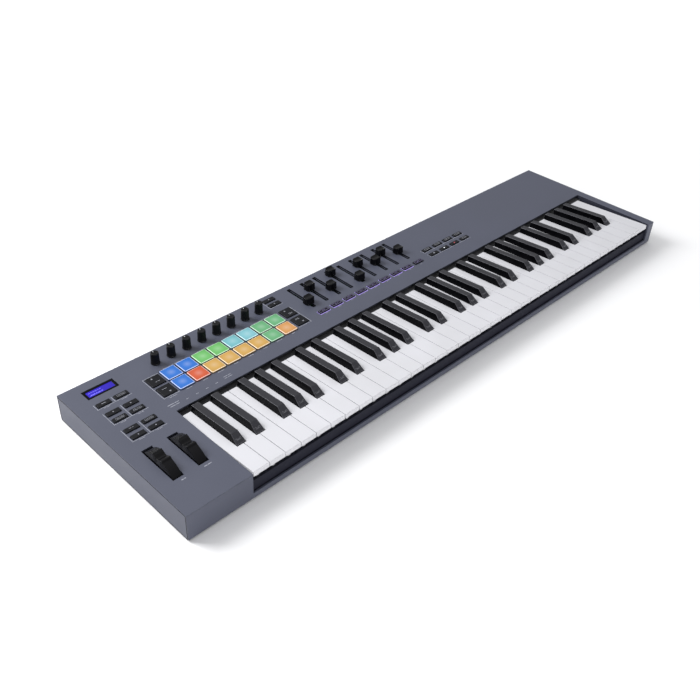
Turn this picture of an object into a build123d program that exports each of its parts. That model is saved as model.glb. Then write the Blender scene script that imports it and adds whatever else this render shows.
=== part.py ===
from build123d import *
import os
from math import cos, radians, sin, sqrt, tan

# A 61-key USB-MIDI synthesizer controller, in millimetres, +Z up.
# Layout figures x and y are counted from the case's left front corner, x to the right and y to
# the back, and z from the surface that it stands on. spot() moves them to the part's own frame,
# whose origin is the middle of the footprint, on that surface.

# ---- Case ----
CASE_W = 957.0
CASE_D = 256.0
CASE_TOP = 39.6
FOOT_H = 2.5
FOOT_R = 9.0
FOOT_CHAMFER = 0.8
FLOOR_T = 2.5
FLOOR_TOP = FOOT_H + FLOOR_T
WALL = 2.5
SKIN_T = 0.8
PANEL_T = 2.6
PANEL_UNDER = CASE_TOP - PANEL_T
SKIN_UNDER = CASE_TOP - SKIN_T
SHELL_FIT = 0.3
TRAY_TOP = SKIN_UNDER - SHELL_FIT
CAP_T = 2.6
CAP_FIT = 0.2
CAP_SEAM = 0.9
CAP_RIM = 0.9
LIP_TOP = 10.0
FEET_X = (40.0, CASE_W / 2, CASE_W - 40.0)
FEET_Y = (26.0, CASE_D - 26.0)

# ---- Key bay ----
BAY_LEFT = 88.8
BAY_RIGHT = 941.5
BAY_BACK = 140.0
BAY_WALL_Y = 143.0
OCTAVE_W = 164.0
PITCH = OCTAVE_W / 7
OCTAVES = 5
KEYS_LEFT = 89.4
KEYS_RIGHT = KEYS_LEFT + 36 * PITCH
KEY_GAP = 0.9

# ---- Key action ----
PIVOT_Y = 168.0
PIVOT_Z = 27.0
REST_TILT = 3.04
ROD_R = 1.5
ROD_FIT = 0.08
HUB_R = 4.0
WHITE_HUB_W = 8.0
BLACK_HUB_W = 7.0
ARM_TOP = 1.0
ARM_UNDER = -2.0

# Key shapes lie level here, with the pivot at y = 0, z = 0 and the player at -y.
TOP_Z = 6.0
SKIRT_Z = -0.4
PLATE_T = 2.2
SIDE_T = 1.6
WHITE_FRONT = -168.2
WHITE_NOTCH = -123.4
WHITE_FRONT_ROUND = 1.0
KEY_BACK = -36.0
BLACK_FOOT = -121.6
BLACK_CREST = -110.2
BLACK_FRONT_H = 10.0
BLACK_REAR_H = 8.0
BLACK_BASE_W = 12.8
BLACK_TOP_W = 9.5
BLACK_CREST_ROUND = 0.8
NOTCH_GAP = 0.6
PLUNGER = 5.0
PLUNGER_Z = -9.0
PLUNGER_Y = -85.0
SKIRT_W = 3.6
BLACK_CEILING = 4.0

# ---- Key frame, boards and felts ----
DECK_Z = 9.5
DECK_TOP = 11.5
RAIL_TOP = 24.5
RAIL_T = 2.0
FRONT_RAIL = (4.0, 20.0)
BACK_RAIL = (46.0, 62.0)
FIN_W = 4.0
FIN_L = 7.0
FIN_UNDER = 21.8
FIN_CLEAR = 0.9
WHITE_FIN_Y = 11.5
BLACK_FIN_Y = 53.5
FIN_SETBACK = 5.0
SUPPORT_T = 2.5
SUPPORT_TOP = 31.0
SUPPORT_Y = (161.0, 175.0)
FRAME_BACK = 182.0
FRAME_RIM = 20.0
FILLER = (1.5, 138.0, 30.0)
FELT_T = 0.6
DUST_STRIP = (133.0, 143.2, 146.0)
DUST_Z = (31.6, 33.0)
BOARD_T = 1.6
CONTACT_BOARD_Y = (68.0, 98.0)
CONTACT_STRIP_Y = (77.0, 89.0)
CONTACT_STRIP_T = 0.8
DOME_H = 3.2
DOME_LOW_R = 3.2
DOME_TOP_R = 2.4
SPRING_Y = 142.0
SPRING_PATH = [(0, 0), (9, 0), (4, 6), (12, 12.6)]
SPRING_T = 0.5
SPRING_W = 4.0

# ---- Control panel: places and sizes of what shows through it ----
CONTROL_BOARD_Z = 31.4
CONTROL_BOARD_TOP = CONTROL_BOARD_Z + BOARD_T
LEFT_BOARD = (8.0, 84.0, 128.0, 245.5)
RIGHT_BOARD = (89.0, 703.0, 172.0, 250.5)
HOLE_GAP = 0.35
PAD_SIZE = 22.0
PAD_TOP = CASE_TOP + 2.0
PAD_UNDER = 34.5
# Corner radius in plan, then the radius round the top edge.
PAD_ROUND = (2.0, 0.7)
PAD_X = [125.5 + 24.15 * i for i in range(8)]
PAD_Y = (177.8, 201.5)
BUTTON_TOP = CASE_TOP + 1.5
BUTTON_UNDER = 34.6
BUTTON_ROUND = (0.8, 0.5)
SWITCH_H = 0.6
SWITCH_W = 5.0
SQUARE_SIZE = (19.0, 18.5)
SQUARE_SPOTS = [(102.0, 201.3), (102.0, 178.0), (320.0, 203.7), (320.0, 180.0)]
MENU_SIZE = (18.3, 7.2)
MENU_SPOTS = [(x, y) for x in (33.2, 57.0) for y in (134.8, 148.7, 172.3, 186.2, 206.7)]
BANK_SIZE = (19.5, 7.0)
BANK_SPOTS = [(320.0, 231.8), (320.0, 244.0)]
STRIP_SIZE = (18.0, 7.0)
FADER_BUTTON_SPOTS = [(361.0 + 24.6 * i, 175.3) for i in range(9)]
TRANSPORT_SIZE = (18.0, 6.5)
TRANSPORT_SPOTS = [(595.2 + 24.4 * i, y) for i in range(4) for y in (175.3, 190.2)]

# ---- Knobs ----
KNOB_X = [122.7 + 24.05 * i for i in range(8)]
KNOB_Y = 231.0
KNOB_BASE_R = 6.1
KNOB_LOW_R = 5.8
KNOB_TOP_R = 5.1
KNOB_UNDER = CASE_TOP + 0.6
KNOB_TOP = 56.2
KNOB_TOP_ROUND = 0.5
KNOB_BASE_H = 1.0
POINTER = (0.6, 1.2, 6.0, 0.3)
SHAFT_R = 3.0
SHAFT_LOW = 27.0
POT_SIZE = (11.0, 12.0, 7.2)

# ---- Faders ----
FADER_X = [358.5 + 24.55 * i for i in range(9)]
FADER_REST_Y = [203.5, 228.5, 209.5, 236.5, 200.5, 228.5, 215.5, 228.5, 214.5]
FADER_SLOT = (4.2, 192.0, 246.0)
FADER_CAP = (15.0, 12.0)
FADER_UNDER = CASE_TOP + 0.3
FADER_TOP = 50.8
# Corner radius in plan, then the radius round the top edge.
FADER_ROUND = (3.5, 0.6)
SCOOP_R = 9.0
SCOOP_DEPTH = 1.8
STEM = (2.4, 5.0)
TRACK_W = 9.0
TRACK_Y = (189.0, 249.0)
TRACK_Z = (24.2, 31.4)
TRACK_WALL = 2.5
TRACK_SLOT = (1.7, 26.0)
STEM_PATH = (2.0, 191.0, 247.0)

# ---- Performance wheels ----
WHEEL_X = (27.25, 61.1)
WHEEL_Y = 80.25
WHEEL_Z = 15.5
WHEEL_R = 36.0
WHEEL_W = 12.5
WHEEL_SPAN = 70.0
WHEEL_SLOT = (14.5, 60.5)
WHEEL_HUB_R = 7.0
RIDGE_R = 2.0
RIDGE_Y = 7.9
RIDGE_SINK = 1.2
DISH_R = 9.0
DISH_RISE = 6.6
AXLE_R = 3.0
AXLE_FIT = 0.08
BRACKET_T = 2.5
INNER_GAP = 4.0
OUTER_GAP = 2.5
BRACKET_BASE = (13.0, 75.5, 42.0, 119.0)
BRACKET_BASE_T = 1.8
BRACKET_PLATE_Y = (68.0, 92.5)
BRACKET_CUT = (3.0, 74.0)
BRACKET_TOP = 24.0
SENSOR_GAP = 2.6
SENSOR_Y = (72.0, 88.5)
SENSOR_CHIP = (78.0, 82.5, 13.5, 17.5, 0.7)
COIL_TURNS = 3
COIL_PITCH = 0.9
COIL_R = 4.4
COIL_WIRE_R = 0.35

# ---- Screen ----
WINDOW = (23.5, 66.0, 224.0, 241.5)
WINDOW_GAP = 0.15
WINDOW_Z = (38.2, CASE_TOP - 0.2)
LCD_VIEW = (27.0, 62.5, 227.5, 238.0)
LCD_FRAME = (20.5, 69.0, 221.5, 244.5)
LCD_FRAME_TOP = 36.4
LCD_FACE = 35.6

# ---- Sockets in the back wall ----
SOCKET_FACE = CASE_D
SOCKET_BAY_END = 110.0
MAIN_BOARD_Z = 11.0
MAIN_BOARD_TOP = MAIN_BOARD_Z + BOARD_T
MAIN_BOARD = (10.0, 110.0, 200.0, 245.5)
MAIN_BOARD_POSTS = [(x, y) for x in (16.0, 104.0) for y in (206.0, 240.0)]
CHIPS = [(30.0, 212.0, 14.0, 14.0), (55.0, 211.0, 9.0, 6.0), (80.0, 212.0, 6.0, 9.0)]
CHIP_T = 1.5
USB_X = 26.0
MIDI_X = 50.0
JACK_X = (72.0, 96.0)
JACK_SIZE = (12.0, 30.0, 12.0)
JACK_BORE_R = 3.2
JACK_BORE_L = 27.0
MIDI_SIZE = (20.0, 19.0, 18.0)
MIDI_BORE_R = 7.6
MIDI_BORE_L = 8.0
USB_SIZE = (12.0, 16.0, 11.0)
USB_MOUTH = (8.6, 9.0, 7.8)
USB_PLATE = (5.6, 37.7)
MIDI_PLATE = (38.0, 61.7)
JACK_PLATES = ((62.0, 83.7), (84.0, 109.7))

# ---- Screws ----
SCREW_R = 1.5
SCREW_TIP = 20.0
HEAD_R = 2.8
SCREW_FIT = 0.2
HEAD_FIT = 0.4
HEAD_Z = (FOOT_H + 0.3, FOOT_H + 2.1)
DRIVE = (3.0, 0.8, 1.0)
POST_R = 3.0
BOSS_R = 3.5
BOSS_GAP = 0.1
PILOT_R = 1.55
PAD_R = 5.0
CASE_SCREWS = [
    (12.0, 12.0), (80.0, 12.0), (12.0, 124.0), (80.0, 124.0),
    (12.0, 249.5), (84.0, 249.5), (340.0, 249.5), (573.0, 249.5),
    (760.0, 249.5), (940.0, 249.5), (947.9, 12.0), (947.9, 128.0),
]
FRAME_SCREWS = [(x, y) for x in (150.0, 380.0, 610.0, 880.0) for y in (33.0, 133.0)]
BOARD_POSTS = [
    (13.0, 170.0), (76.5, 170.0), (106.0, 226.0), (337.0, 220.0), (573.0, 215.0), (694.0, 215.0),
]

NOTES = (
    "c", "c_sharp", "d", "d_sharp", "e", "f", "f_sharp", "g", "g_sharp", "a", "a_sharp", "b",
)
WHITE_PLACE = {"c": 0, "d": 1, "e": 2, "f": 3, "g": 4, "a": 5, "b": 6}


# ---- Helpers ----
def spot(x, y, z=0.0):
    """A place counted from the case's left front corner."""
    return Pos(x - CASE_W / 2, y - CASE_D / 2, z)


def level_box(x0, x1, y0, y1, z0, z1):
    """A box between two corners, as counted."""
    return Pos(x0, y0, z0) * Box(x1 - x0, y1 - y0, z1 - z0, align=Align.MIN)


def block(x0, x1, y0, y1, z0, z1):
    """A box between two corners, x and y counted from the case's left front corner."""
    return spot(0, 0) * level_box(x0, x1, y0, y1, z0, z1)


def post(x, y, r, z0, z1):
    """An upright round bar."""
    upright = Cylinder(r, z1 - z0, align=(Align.CENTER, Align.CENTER, Align.MIN))
    return spot(x, y, z0) * upright


def bar_x(x0, x1, y, z, r):
    """A round bar along x."""
    lying = Cylinder(r, x1 - x0, align=(Align.CENTER, Align.CENTER, Align.MIN))
    return spot(x0, y, z) * Rot(0, 90, 0) * lying


def bar_y(x, y0, y1, z, r):
    """A round bar along y."""
    lying = Cylinder(r, y1 - y0, align=(Align.CENTER, Align.CENTER, Align.MAX))
    return spot(x, y0, z) * Rot(90, 0, 0) * lying


def middle_block(x, y, width, depth, z0, z1):
    """A box around an upright line."""
    return block(x - width / 2, x + width / 2, y - depth / 2, y + depth / 2, z0, z1)


def rounded_block(x, y, width, depth, z0, z1, corner, edge):
    """A box around an upright line, with round corners and a softened top edge."""
    shape = extrude(RectangleRounded(width, depth, corner), z1 - z0)
    shape = fillet(shape.faces().sort_by(Axis.Z)[-1].edges(), edge)
    return spot(x, y, z0) * shape


def group(shapes):
    """Separate solids that share one node."""
    return Compound(children=[solid for shape in shapes for solid in shape.solids()])


# ---- Case shells ----
def screw_holes():
    """A counterbore and a clearance hole under every screw."""
    holes = []
    for x, y in CASE_SCREWS + FRAME_SCREWS:
        holes.append(post(x, y, HEAD_R + HEAD_FIT, FOOT_H - 1, HEAD_Z[1]))
        holes.append(post(x, y, SCREW_R + SCREW_FIT, FOOT_H, DECK_Z))
    return holes


def tray():
    """The floor with its front lip, the sill under the sockets, screw pads and board posts."""
    left = CAP_T + CAP_FIT
    right = CASE_W - left
    floor = block(0, CASE_W, 0, CASE_D, FOOT_H, FLOOR_TOP)
    floor += block(BAY_LEFT, BAY_RIGHT, 0, WALL, FLOOR_TOP, LIP_TOP)
    floor += block(left + WALL, SOCKET_BAY_END, CASE_D - WALL, CASE_D, FLOOR_TOP, DECK_Z)
    floor -= [
        block(-1, left, CAP_RIM, CASE_D - CAP_RIM, FOOT_H - 1, FLOOR_TOP + 1),
        block(right, CASE_W + 1, CAP_RIM, CASE_D - CAP_RIM, FOOT_H - 1, FLOOR_TOP + 1),
    ]
    floor += [post(x, y, PAD_R, FLOOR_TOP, DECK_Z) for x, y in CASE_SCREWS + FRAME_SCREWS]
    floor += [post(x, y, POST_R, FLOOR_TOP, MAIN_BOARD_Z) for x, y in MAIN_BOARD_POSTS]
    return floor - screw_holes()


def end_wall(x0, x1, rim_x):
    """A wall at one end of the case, with a rim at its front and back around the end plate."""
    low, high = min(x0, x1, rim_x), max(x0, x1, rim_x)
    recess = sorted((rim_x, x0))
    wall = block(low, high, 0, CASE_D, FLOOR_TOP, TRAY_TOP)
    return wall - block(*recess, CAP_RIM, CASE_D - CAP_RIM, FLOOR_TOP - 1, TRAY_TOP + 1)


def bottom_case():
    """The tray and the wall plates that stand on it; the sockets close the back at the left."""
    left = CAP_T + CAP_FIT
    right = CASE_W - left
    inner_left = left + WALL
    inner_right = right - WALL
    cheek_top = PANEL_UNDER - CAP_FIT
    return group([
        tray(),
        end_wall(left, inner_left, 0),
        end_wall(right, inner_right, CASE_W),
        block(SOCKET_BAY_END, inner_right, CASE_D - WALL, CASE_D, FLOOR_TOP, TRAY_TOP),
        block(inner_left, BAY_LEFT, 0, WALL, FLOOR_TOP, TRAY_TOP),
        block(BAY_RIGHT, inner_right, 0, WALL, FLOOR_TOP, TRAY_TOP),
        block(BAY_LEFT - WALL, BAY_LEFT, WALL, BAY_WALL_Y, FLOOR_TOP, cheek_top),
        block(BAY_RIGHT, BAY_RIGHT + WALL, WALL, BAY_WALL_Y, FLOOR_TOP, cheek_top),
    ])


def panel_holes():
    """Every opening in the top panel's control area."""
    low, high = PANEL_UNDER - 1, CASE_TOP + 1
    gap = 2 * HOLE_GAP
    pad_hole = PAD_SIZE + gap
    holes = [middle_block(x, y, pad_hole, pad_hole, low, high) for x in PAD_X for y in PAD_Y]
    for spots, (width, depth) in button_groups().values():
        holes += [middle_block(x, y, width + gap, depth + gap, low, high) for x, y in spots]
    holes += [post(x, KNOB_Y, SHAFT_R + gap, low, high) for x in KNOB_X]
    width, front, back = FADER_SLOT
    holes += [block(x - width / 2, x + width / 2, front, back, low, high) for x in FADER_X]
    holes += [middle_block(x, WHEEL_Y, *WHEEL_SLOT, low, high) for x in WHEEL_X]
    left, right, front, back = WINDOW
    gap = WINDOW_GAP
    holes.append(block(left - gap, right + gap, front - gap, back + gap, low, high))
    return holes


def top_panel():
    """The top: a flush skin, a thicker plate inside the walls, screw bosses and board posts."""
    front = WALL + SHELL_FIT
    side = CAP_T + CAP_FIT + front
    panel = block(0, CASE_W, 0, CASE_D, SKIN_UNDER, CASE_TOP)
    panel += block(side, CASE_W - side, front, CASE_D - front, PANEL_UNDER, SKIN_UNDER)
    panel += [post(x, y, BOSS_R, DECK_Z + BOSS_GAP, PANEL_UNDER) for x, y in CASE_SCREWS]
    panel += [post(x, y, POST_R, CONTROL_BOARD_TOP, PANEL_UNDER) for x, y in BOARD_POSTS]
    key_cut_out = block(BAY_LEFT, BAY_RIGHT, -1, BAY_BACK, PANEL_UNDER - 1, CASE_TOP + 1)
    pilots = [post(x, y, PILOT_R, DECK_Z, SCREW_TIP + 1) for x, y in CASE_SCREWS]
    return panel - [key_cut_out] - panel_holes() - pilots


def end_caps():
    """A plate let into each end of the case, with a narrow seam all round."""
    front, back = CAP_RIM + CAP_SEAM, CASE_D - CAP_RIM - CAP_SEAM
    low, high = FOOT_H + SHELL_FIT, SKIN_UNDER - CAP_SEAM
    left = block(0, CAP_T, front, back, low, high)
    right = block(CASE_W - CAP_T, CASE_W, front, back, low, high)
    return group([left, right])


def rubber_feet():
    foot = Cylinder(FOOT_R, FOOT_H, align=(Align.CENTER, Align.CENTER, Align.MIN))
    foot = chamfer(foot.faces().sort_by(Axis.Z)[0].edges(), FOOT_CHAMFER)
    return group([spot(x, y) * foot for x in FEET_X for y in FEET_Y])


def case_screws():
    """Cross-head screws, all alike: twelve hold the panel, eight hold the key frame."""
    length, width, depth = DRIVE
    low, high = HEAD_Z[0] - depth, HEAD_Z[0] + depth
    screws = []
    for x, y in CASE_SCREWS + FRAME_SCREWS:
        screw = post(x, y, HEAD_R, *HEAD_Z) + post(x, y, SCREW_R, HEAD_Z[1], SCREW_TIP)
        drive = [
            middle_block(x, y, length, width, low, high),
            middle_block(x, y, width, length, low, high),
        ]
        screws.append(screw - drive)
    return group(screws)


# ---- Keys ----
def is_black(note):
    return note.endswith("sharp")


def tail_centre(note):
    """Where a key's back end lies in its octave: C to E share 3 pitches, F to B share 4."""
    place = NOTES.index(note)
    if place < 5:
        return (place + 0.5) * 3 * PITCH / 5
    return 3 * PITCH + (place - 5 + 0.5) * 4 * PITCH / 7


def key_spots(note):
    """The octaves a note is found in; the keyboard ends with one more C."""
    return [(octave, False) for octave in range(OCTAVES)] + ([(OCTAVES, True)] if note == "c" else [])


def all_keys():
    """Every key as (note, its octave's left edge)."""
    return [
        (note, KEYS_LEFT + octave * OCTAVE_W) for note in NOTES for octave, _ in key_spots(note)
    ]


def tail_edges(note, is_last):
    """Left and right edges of a white key behind its notch."""
    place = NOTES.index(note)
    reach = BLACK_BASE_W / 2 + NOTCH_GAP
    left = WHITE_PLACE[note] * PITCH + KEY_GAP / 2
    right = (WHITE_PLACE[note] + 1) * PITCH - KEY_GAP / 2
    if place > 0 and is_black(NOTES[place - 1]):
        left = tail_centre(NOTES[place - 1]) + reach
    if place < 11 and is_black(NOTES[place + 1]) and not is_last:
        right = tail_centre(NOTES[place + 1]) - reach
    return left, right


def hub_and_arm(x, width):
    """The arm under the panel and the hub that sits astride the pivot rod."""
    arm = level_box(x - width / 2, x + width / 2, KEY_BACK - 3, 0, ARM_UNDER, ARM_TOP)
    hub = Pos(x, 0, 0) * Rot(0, 90, 0) * Cylinder(HUB_R, width)
    seat = Pos(x, 0, 0) * Rot(0, 90, 0) * Cylinder(ROD_R + ROD_FIT, width + 2)
    reach = ROD_R + ROD_FIT
    mouth = level_box(x - width, x + width, -reach, reach, -HUB_R - 1, 0)
    return arm + hub, [seat, mouth]


def fin_bottom(y):
    """Height of a guide fin's end, so that it stays in its slot at rest."""
    drop = (PIVOT_Y - y) * tan(radians(REST_TILT))
    return FIN_UNDER - PIVOT_Z - drop


def guide_fin(x, y, top):
    level_y = y - PIVOT_Y
    return level_box(
        x - FIN_W / 2, x + FIN_W / 2, level_y - FIN_L / 2, level_y + FIN_L / 2, fin_bottom(y), top
    )


def plunger(x, top):
    half = PLUNGER / 2
    return level_box(x - half, x + half, PLUNGER_Y - half, PLUNGER_Y + half, PLUNGER_Z, top)


def white_key(note, is_last=False):
    """A hollow white key, level, with its octave's left edge at x = 0."""
    left = WHITE_PLACE[note] * PITCH + KEY_GAP / 2
    right = left + PITCH - KEY_GAP
    tail_left, tail_right = tail_edges(note, is_last)
    head = level_box(left, right, WHITE_FRONT, WHITE_NOTCH, SKIRT_Z, TOP_Z)
    front_edge = head.edges().filter_by(Axis.X).group_by(Axis.Z)[-1].sort_by(Axis.Y)[0]
    head = fillet(front_edge, WHITE_FRONT_ROUND)
    tail = level_box(tail_left, tail_right, WHITE_NOTCH, KEY_BACK, SKIRT_Z, TOP_Z)
    ceiling = TOP_Z - PLATE_T
    hollow_head = level_box(
        left + SIDE_T, right - SIDE_T, WHITE_FRONT + PLATE_T, WHITE_NOTCH - SIDE_T, SKIRT_Z, ceiling
    )
    hollow_tail = level_box(
        tail_left + SIDE_T, tail_right - SIDE_T, WHITE_NOTCH - SIDE_T, KEY_BACK - SIDE_T,
        SKIRT_Z, ceiling,
    )
    x = tail_centre(note)
    arm, seat = hub_and_arm(x, WHITE_HUB_W)
    key = head + tail - [hollow_head, hollow_tail]
    key += [guide_fin((left + right) / 2, WHITE_FIN_Y, ceiling), plunger(x, ceiling), arm]
    return key - seat


def black_section(y, height):
    """A black key's cross-section: upright skirts, then sides that lean in to the top."""
    low, high = BLACK_BASE_W / 2, BLACK_TOP_W / 2
    outline = Polygon(
        (-low, SKIRT_Z), (low, SKIRT_Z), (low, TOP_Z), (high, TOP_Z + height),
        (-high, TOP_Z + height), (-low, TOP_Z), align=None,
    )
    return Pos(0, y, 0) * Rot(90, 0, 0) * outline


def black_key(note):
    """A hollow black key, level, with its octave's left edge at x = 0."""
    slope = (BLACK_FRONT_H - BLACK_REAR_H) / (KEY_BACK - BLACK_CREST)
    foot_height = BLACK_FRONT_H + slope * (BLACK_CREST - BLACK_FOOT)
    body = loft([black_section(BLACK_FOOT, foot_height), black_section(KEY_BACK, BLACK_REAR_H)])
    crest = TOP_Z + BLACK_FRONT_H
    lean = (BLACK_CREST - BLACK_FOOT) / BLACK_FRONT_H
    wedge = make_face(Polyline(
        (BLACK_FOOT, TOP_Z), (BLACK_CREST + lean * 2, crest + 2), (BLACK_FOOT - 2, crest + 2),
        (BLACK_FOOT - 2, TOP_Z), close=True,
    ))
    body -= extrude(Plane.YZ * wedge, BLACK_BASE_W, both=True)
    crest_edges = body.edges().group_by(Axis.Z)[-1]
    body = fillet(crest_edges, BLACK_CREST_ROUND)
    ceiling = TOP_Z + BLACK_CEILING
    inner_front = BLACK_FOOT + BLACK_CEILING
    body -= level_box(-SKIRT_W, SKIRT_W, inner_front, KEY_BACK - SIDE_T, SKIRT_Z, ceiling)
    arm, seat = hub_and_arm(0, BLACK_HUB_W)
    body += [guide_fin(0, BLACK_FIN_Y, ceiling), plunger(0, ceiling), arm]
    return Pos(tail_centre(note), 0, 0) * (body - seat)


def keys_of(note):
    """All the keys of one note, at rest: each leans up a little towards the player."""
    rest = Rot(-REST_TILT, 0, 0)
    shapes = {False: black_key(note) if is_black(note) else white_key(note)}
    if note == "c":
        shapes[True] = white_key(note, is_last=True)
    return group([
        spot(KEYS_LEFT + octave * OCTAVE_W, PIVOT_Y, PIVOT_Z) * rest * shapes[is_last]
        for octave, is_last in key_spots(note)
    ])


# ---- Key frame and what it carries ----
def fin_slots():
    """One slot in a guide rail for each key's fin."""
    slots = []
    for note, left in all_keys():
        x = left + tail_centre(note)
        y = BLACK_FIN_Y
        if not is_black(note):
            x = left + (WHITE_PLACE[note] + 0.5) * PITCH
            y = WHITE_FIN_Y
        size = FIN_W + FIN_CLEAR, FIN_L + 2 * FIN_CLEAR
        slots.append(middle_block(x, y, *size, RAIL_TOP - RAIL_T - 1, RAIL_TOP + 1))
    return slots


def guide_rail(front, back):
    """An upturned channel along the whole keyboard."""
    left, right = KEYS_LEFT + 0.2, BAY_RIGHT - 0.5
    rail = block(left, right, front, back, DECK_Z, RAIL_TOP)
    under = RAIL_TOP - RAIL_T
    return rail - block(left - 1, right + 1, front + RAIL_T, back - RAIL_T, DECK_TOP, under)


def support_places():
    """Rod supports stand beside C and F, where two hubs leave room, and at both ends."""
    ends = [KEYS_LEFT + SUPPORT_T / 2 + 0.2]
    inner = [KEYS_LEFT + octave * OCTAVE_W for octave in range(1, OCTAVES + 1)]
    fourths = [KEYS_LEFT + octave * OCTAVE_W + 3 * PITCH for octave in range(OCTAVES)]
    return ends + inner + fourths


def key_frame():
    """The chassis: a deck, two guide rails, the rod's supports and an end filler."""
    left, right = KEYS_LEFT + 0.2, BAY_RIGHT - 0.5
    frame = block(left, right, FRONT_RAIL[0], FRAME_BACK, DECK_Z, DECK_TOP)
    frame += [guide_rail(*FRONT_RAIL), guide_rail(*BACK_RAIL)]
    frame += block(left, right, FRAME_BACK - RAIL_T, FRAME_BACK, DECK_TOP, FRAME_RIM)
    filler_gap, filler_back, filler_top = FILLER
    filler_left = KEYS_RIGHT + filler_gap
    frame += block(filler_left, right, FRONT_RAIL[1], filler_back, DECK_TOP, filler_top)
    half = SUPPORT_T / 2
    frame += [
        block(x - half, x + half, *SUPPORT_Y, DECK_TOP, SUPPORT_TOP) for x in support_places()
    ]
    frame += [post(x, y, BOSS_R, DECK_TOP, SCREW_TIP + 1.5) for x, y in FRAME_SCREWS]
    pilots = [post(x, y, PILOT_R, DECK_Z - 1, SCREW_TIP + 1) for x, y in FRAME_SCREWS]
    rod_bore = bar_x(BAY_LEFT, BAY_RIGHT, PIVOT_Y, PIVOT_Z, ROD_R + 0.05)
    return frame - fin_slots() - pilots - [rod_bore]


def key_pivot_rod():
    return bar_x(KEYS_LEFT + 0.4, KEYS_RIGHT, PIVOT_Y, PIVOT_Z, ROD_R)


def key_contact_board():
    return block(KEYS_LEFT + 2, KEYS_RIGHT, *CONTACT_BOARD_Y, DECK_TOP, DECK_TOP + BOARD_T)


def key_contact_strips():
    """A silicone strip with one dome under each key's plunger."""
    base = DECK_TOP + BOARD_T
    top = base + CONTACT_STRIP_T
    strip = block(KEYS_LEFT + 3, KEYS_RIGHT - 1, *CONTACT_STRIP_Y, base, top)
    dome = Cone(DOME_LOW_R, DOME_TOP_R, DOME_H, align=(Align.CENTER, Align.CENTER, Align.MIN))
    y = PIVOT_Y + PLUNGER_Y
    return strip + [spot(left + tail_centre(note), y, top) * dome for note, left in all_keys()]


def key_springs():
    """A bent leaf under every arm, drawn as it is with its key pressed."""
    profile = trace(Polyline(*SPRING_PATH), line_width=SPRING_T)
    leaf = extrude(Plane.YZ * profile, SPRING_W / 2, both=True)
    z = DECK_TOP + SPRING_T / 2
    return group([
        spot(left + tail_centre(note), SPRING_Y, z) * leaf for note, left in all_keys()
    ])


def key_felts():
    """Two bump felts on the guide rails and the dark dust strip behind the keys."""
    left, right = KEYS_LEFT + 1, KEYS_RIGHT
    felt_top = RAIL_TOP + FELT_T
    front = block(left, right, WHITE_FIN_Y + FIN_SETBACK, FRONT_RAIL[1], RAIL_TOP, felt_top)
    back = block(left, right, BLACK_FIN_Y + FIN_SETBACK, BACK_RAIL[1], RAIL_TOP, felt_top)
    dust_left = BAY_LEFT + SHELL_FIT
    dust_right = BAY_RIGHT - SHELL_FIT
    dust_front, dust_bend, dust_back = DUST_STRIP
    low, high = DUST_Z
    dust = block(dust_left, dust_right, dust_front, dust_back, low, high)
    dust += block(dust_left, dust_right, dust_bend, dust_back, high, PANEL_UNDER)
    return group([front, back, dust])


# ---- Boards and display ----
def switches():
    """A low switch under each button."""
    low, high = CONTROL_BOARD_TOP, CONTROL_BOARD_TOP + SWITCH_H
    return [
        middle_block(x, y, SWITCH_W, SWITCH_W, low, high)
        for spots, _ in button_groups().values() for x, y in spots
    ]


def control_board():
    """Two boards under the panel: the left block's, and the one for pads, knobs and faders."""
    low, high = CONTROL_BOARD_Z, CONTROL_BOARD_TOP
    left = block(*LEFT_BOARD, low, high)
    right = block(*RIGHT_BOARD, low, high)
    below = low - 1
    gap = 2 * SHELL_FIT
    right -= [post(x, KNOB_Y, SHAFT_R + gap, below, high) for x in KNOB_X]
    half, front, back = STEM_PATH
    right -= [block(x - half, x + half, front, back, below, high) for x in FADER_X]
    right -= [post(x, y, BOSS_R + gap, below, high) for x, y in CASE_SCREWS]
    left += [switch for switch in switches() if in_left_block(switch)]
    right += [switch for switch in switches() if not in_left_block(switch)]
    return group([left, right])


def in_left_block(shape):
    return shape.center().X + CASE_W / 2 < BAY_LEFT


def main_board():
    """The processor board on the floor, with its chips."""
    board = block(*MAIN_BOARD, MAIN_BOARD_Z, MAIN_BOARD_TOP)
    return board + [middle_block(*chip, MAIN_BOARD_TOP, MAIN_BOARD_TOP + CHIP_T) for chip in CHIPS]


def display_module():
    """The liquid crystal screen with its frame."""
    frame = block(*LCD_FRAME, CONTROL_BOARD_TOP, LCD_FRAME_TOP)
    return frame - block(*LCD_VIEW, LCD_FACE, LCD_FRAME_TOP + 1)


def display_window():
    return block(*WINDOW, *WINDOW_Z)


# ---- Knobs, faders, pads and buttons ----
def rotary_knob(x):
    """A tapered cap with a pointer groove, and the shaft that turns with it."""
    cone_low = KNOB_UNDER + KNOB_BASE_H
    base = post(x, KNOB_Y, KNOB_BASE_R, KNOB_UNDER, cone_low)
    upright = (Align.CENTER, Align.CENTER, Align.MIN)
    cone = Cone(KNOB_LOW_R, KNOB_TOP_R, KNOB_TOP - cone_low, align=upright)
    cone = fillet(cone.faces().sort_by(Axis.Z)[-1].edges(), KNOB_TOP_ROUND)
    half, start, end, depth = POINTER
    groove = block(
        x - half, x + half, KNOB_Y + start, KNOB_Y + end, KNOB_TOP - depth, KNOB_TOP + 1
    )
    cap = base + spot(x, KNOB_Y, cone_low) * cone - groove
    return cap + post(x, KNOB_Y, SHAFT_R, SHAFT_LOW, KNOB_UNDER)


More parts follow.
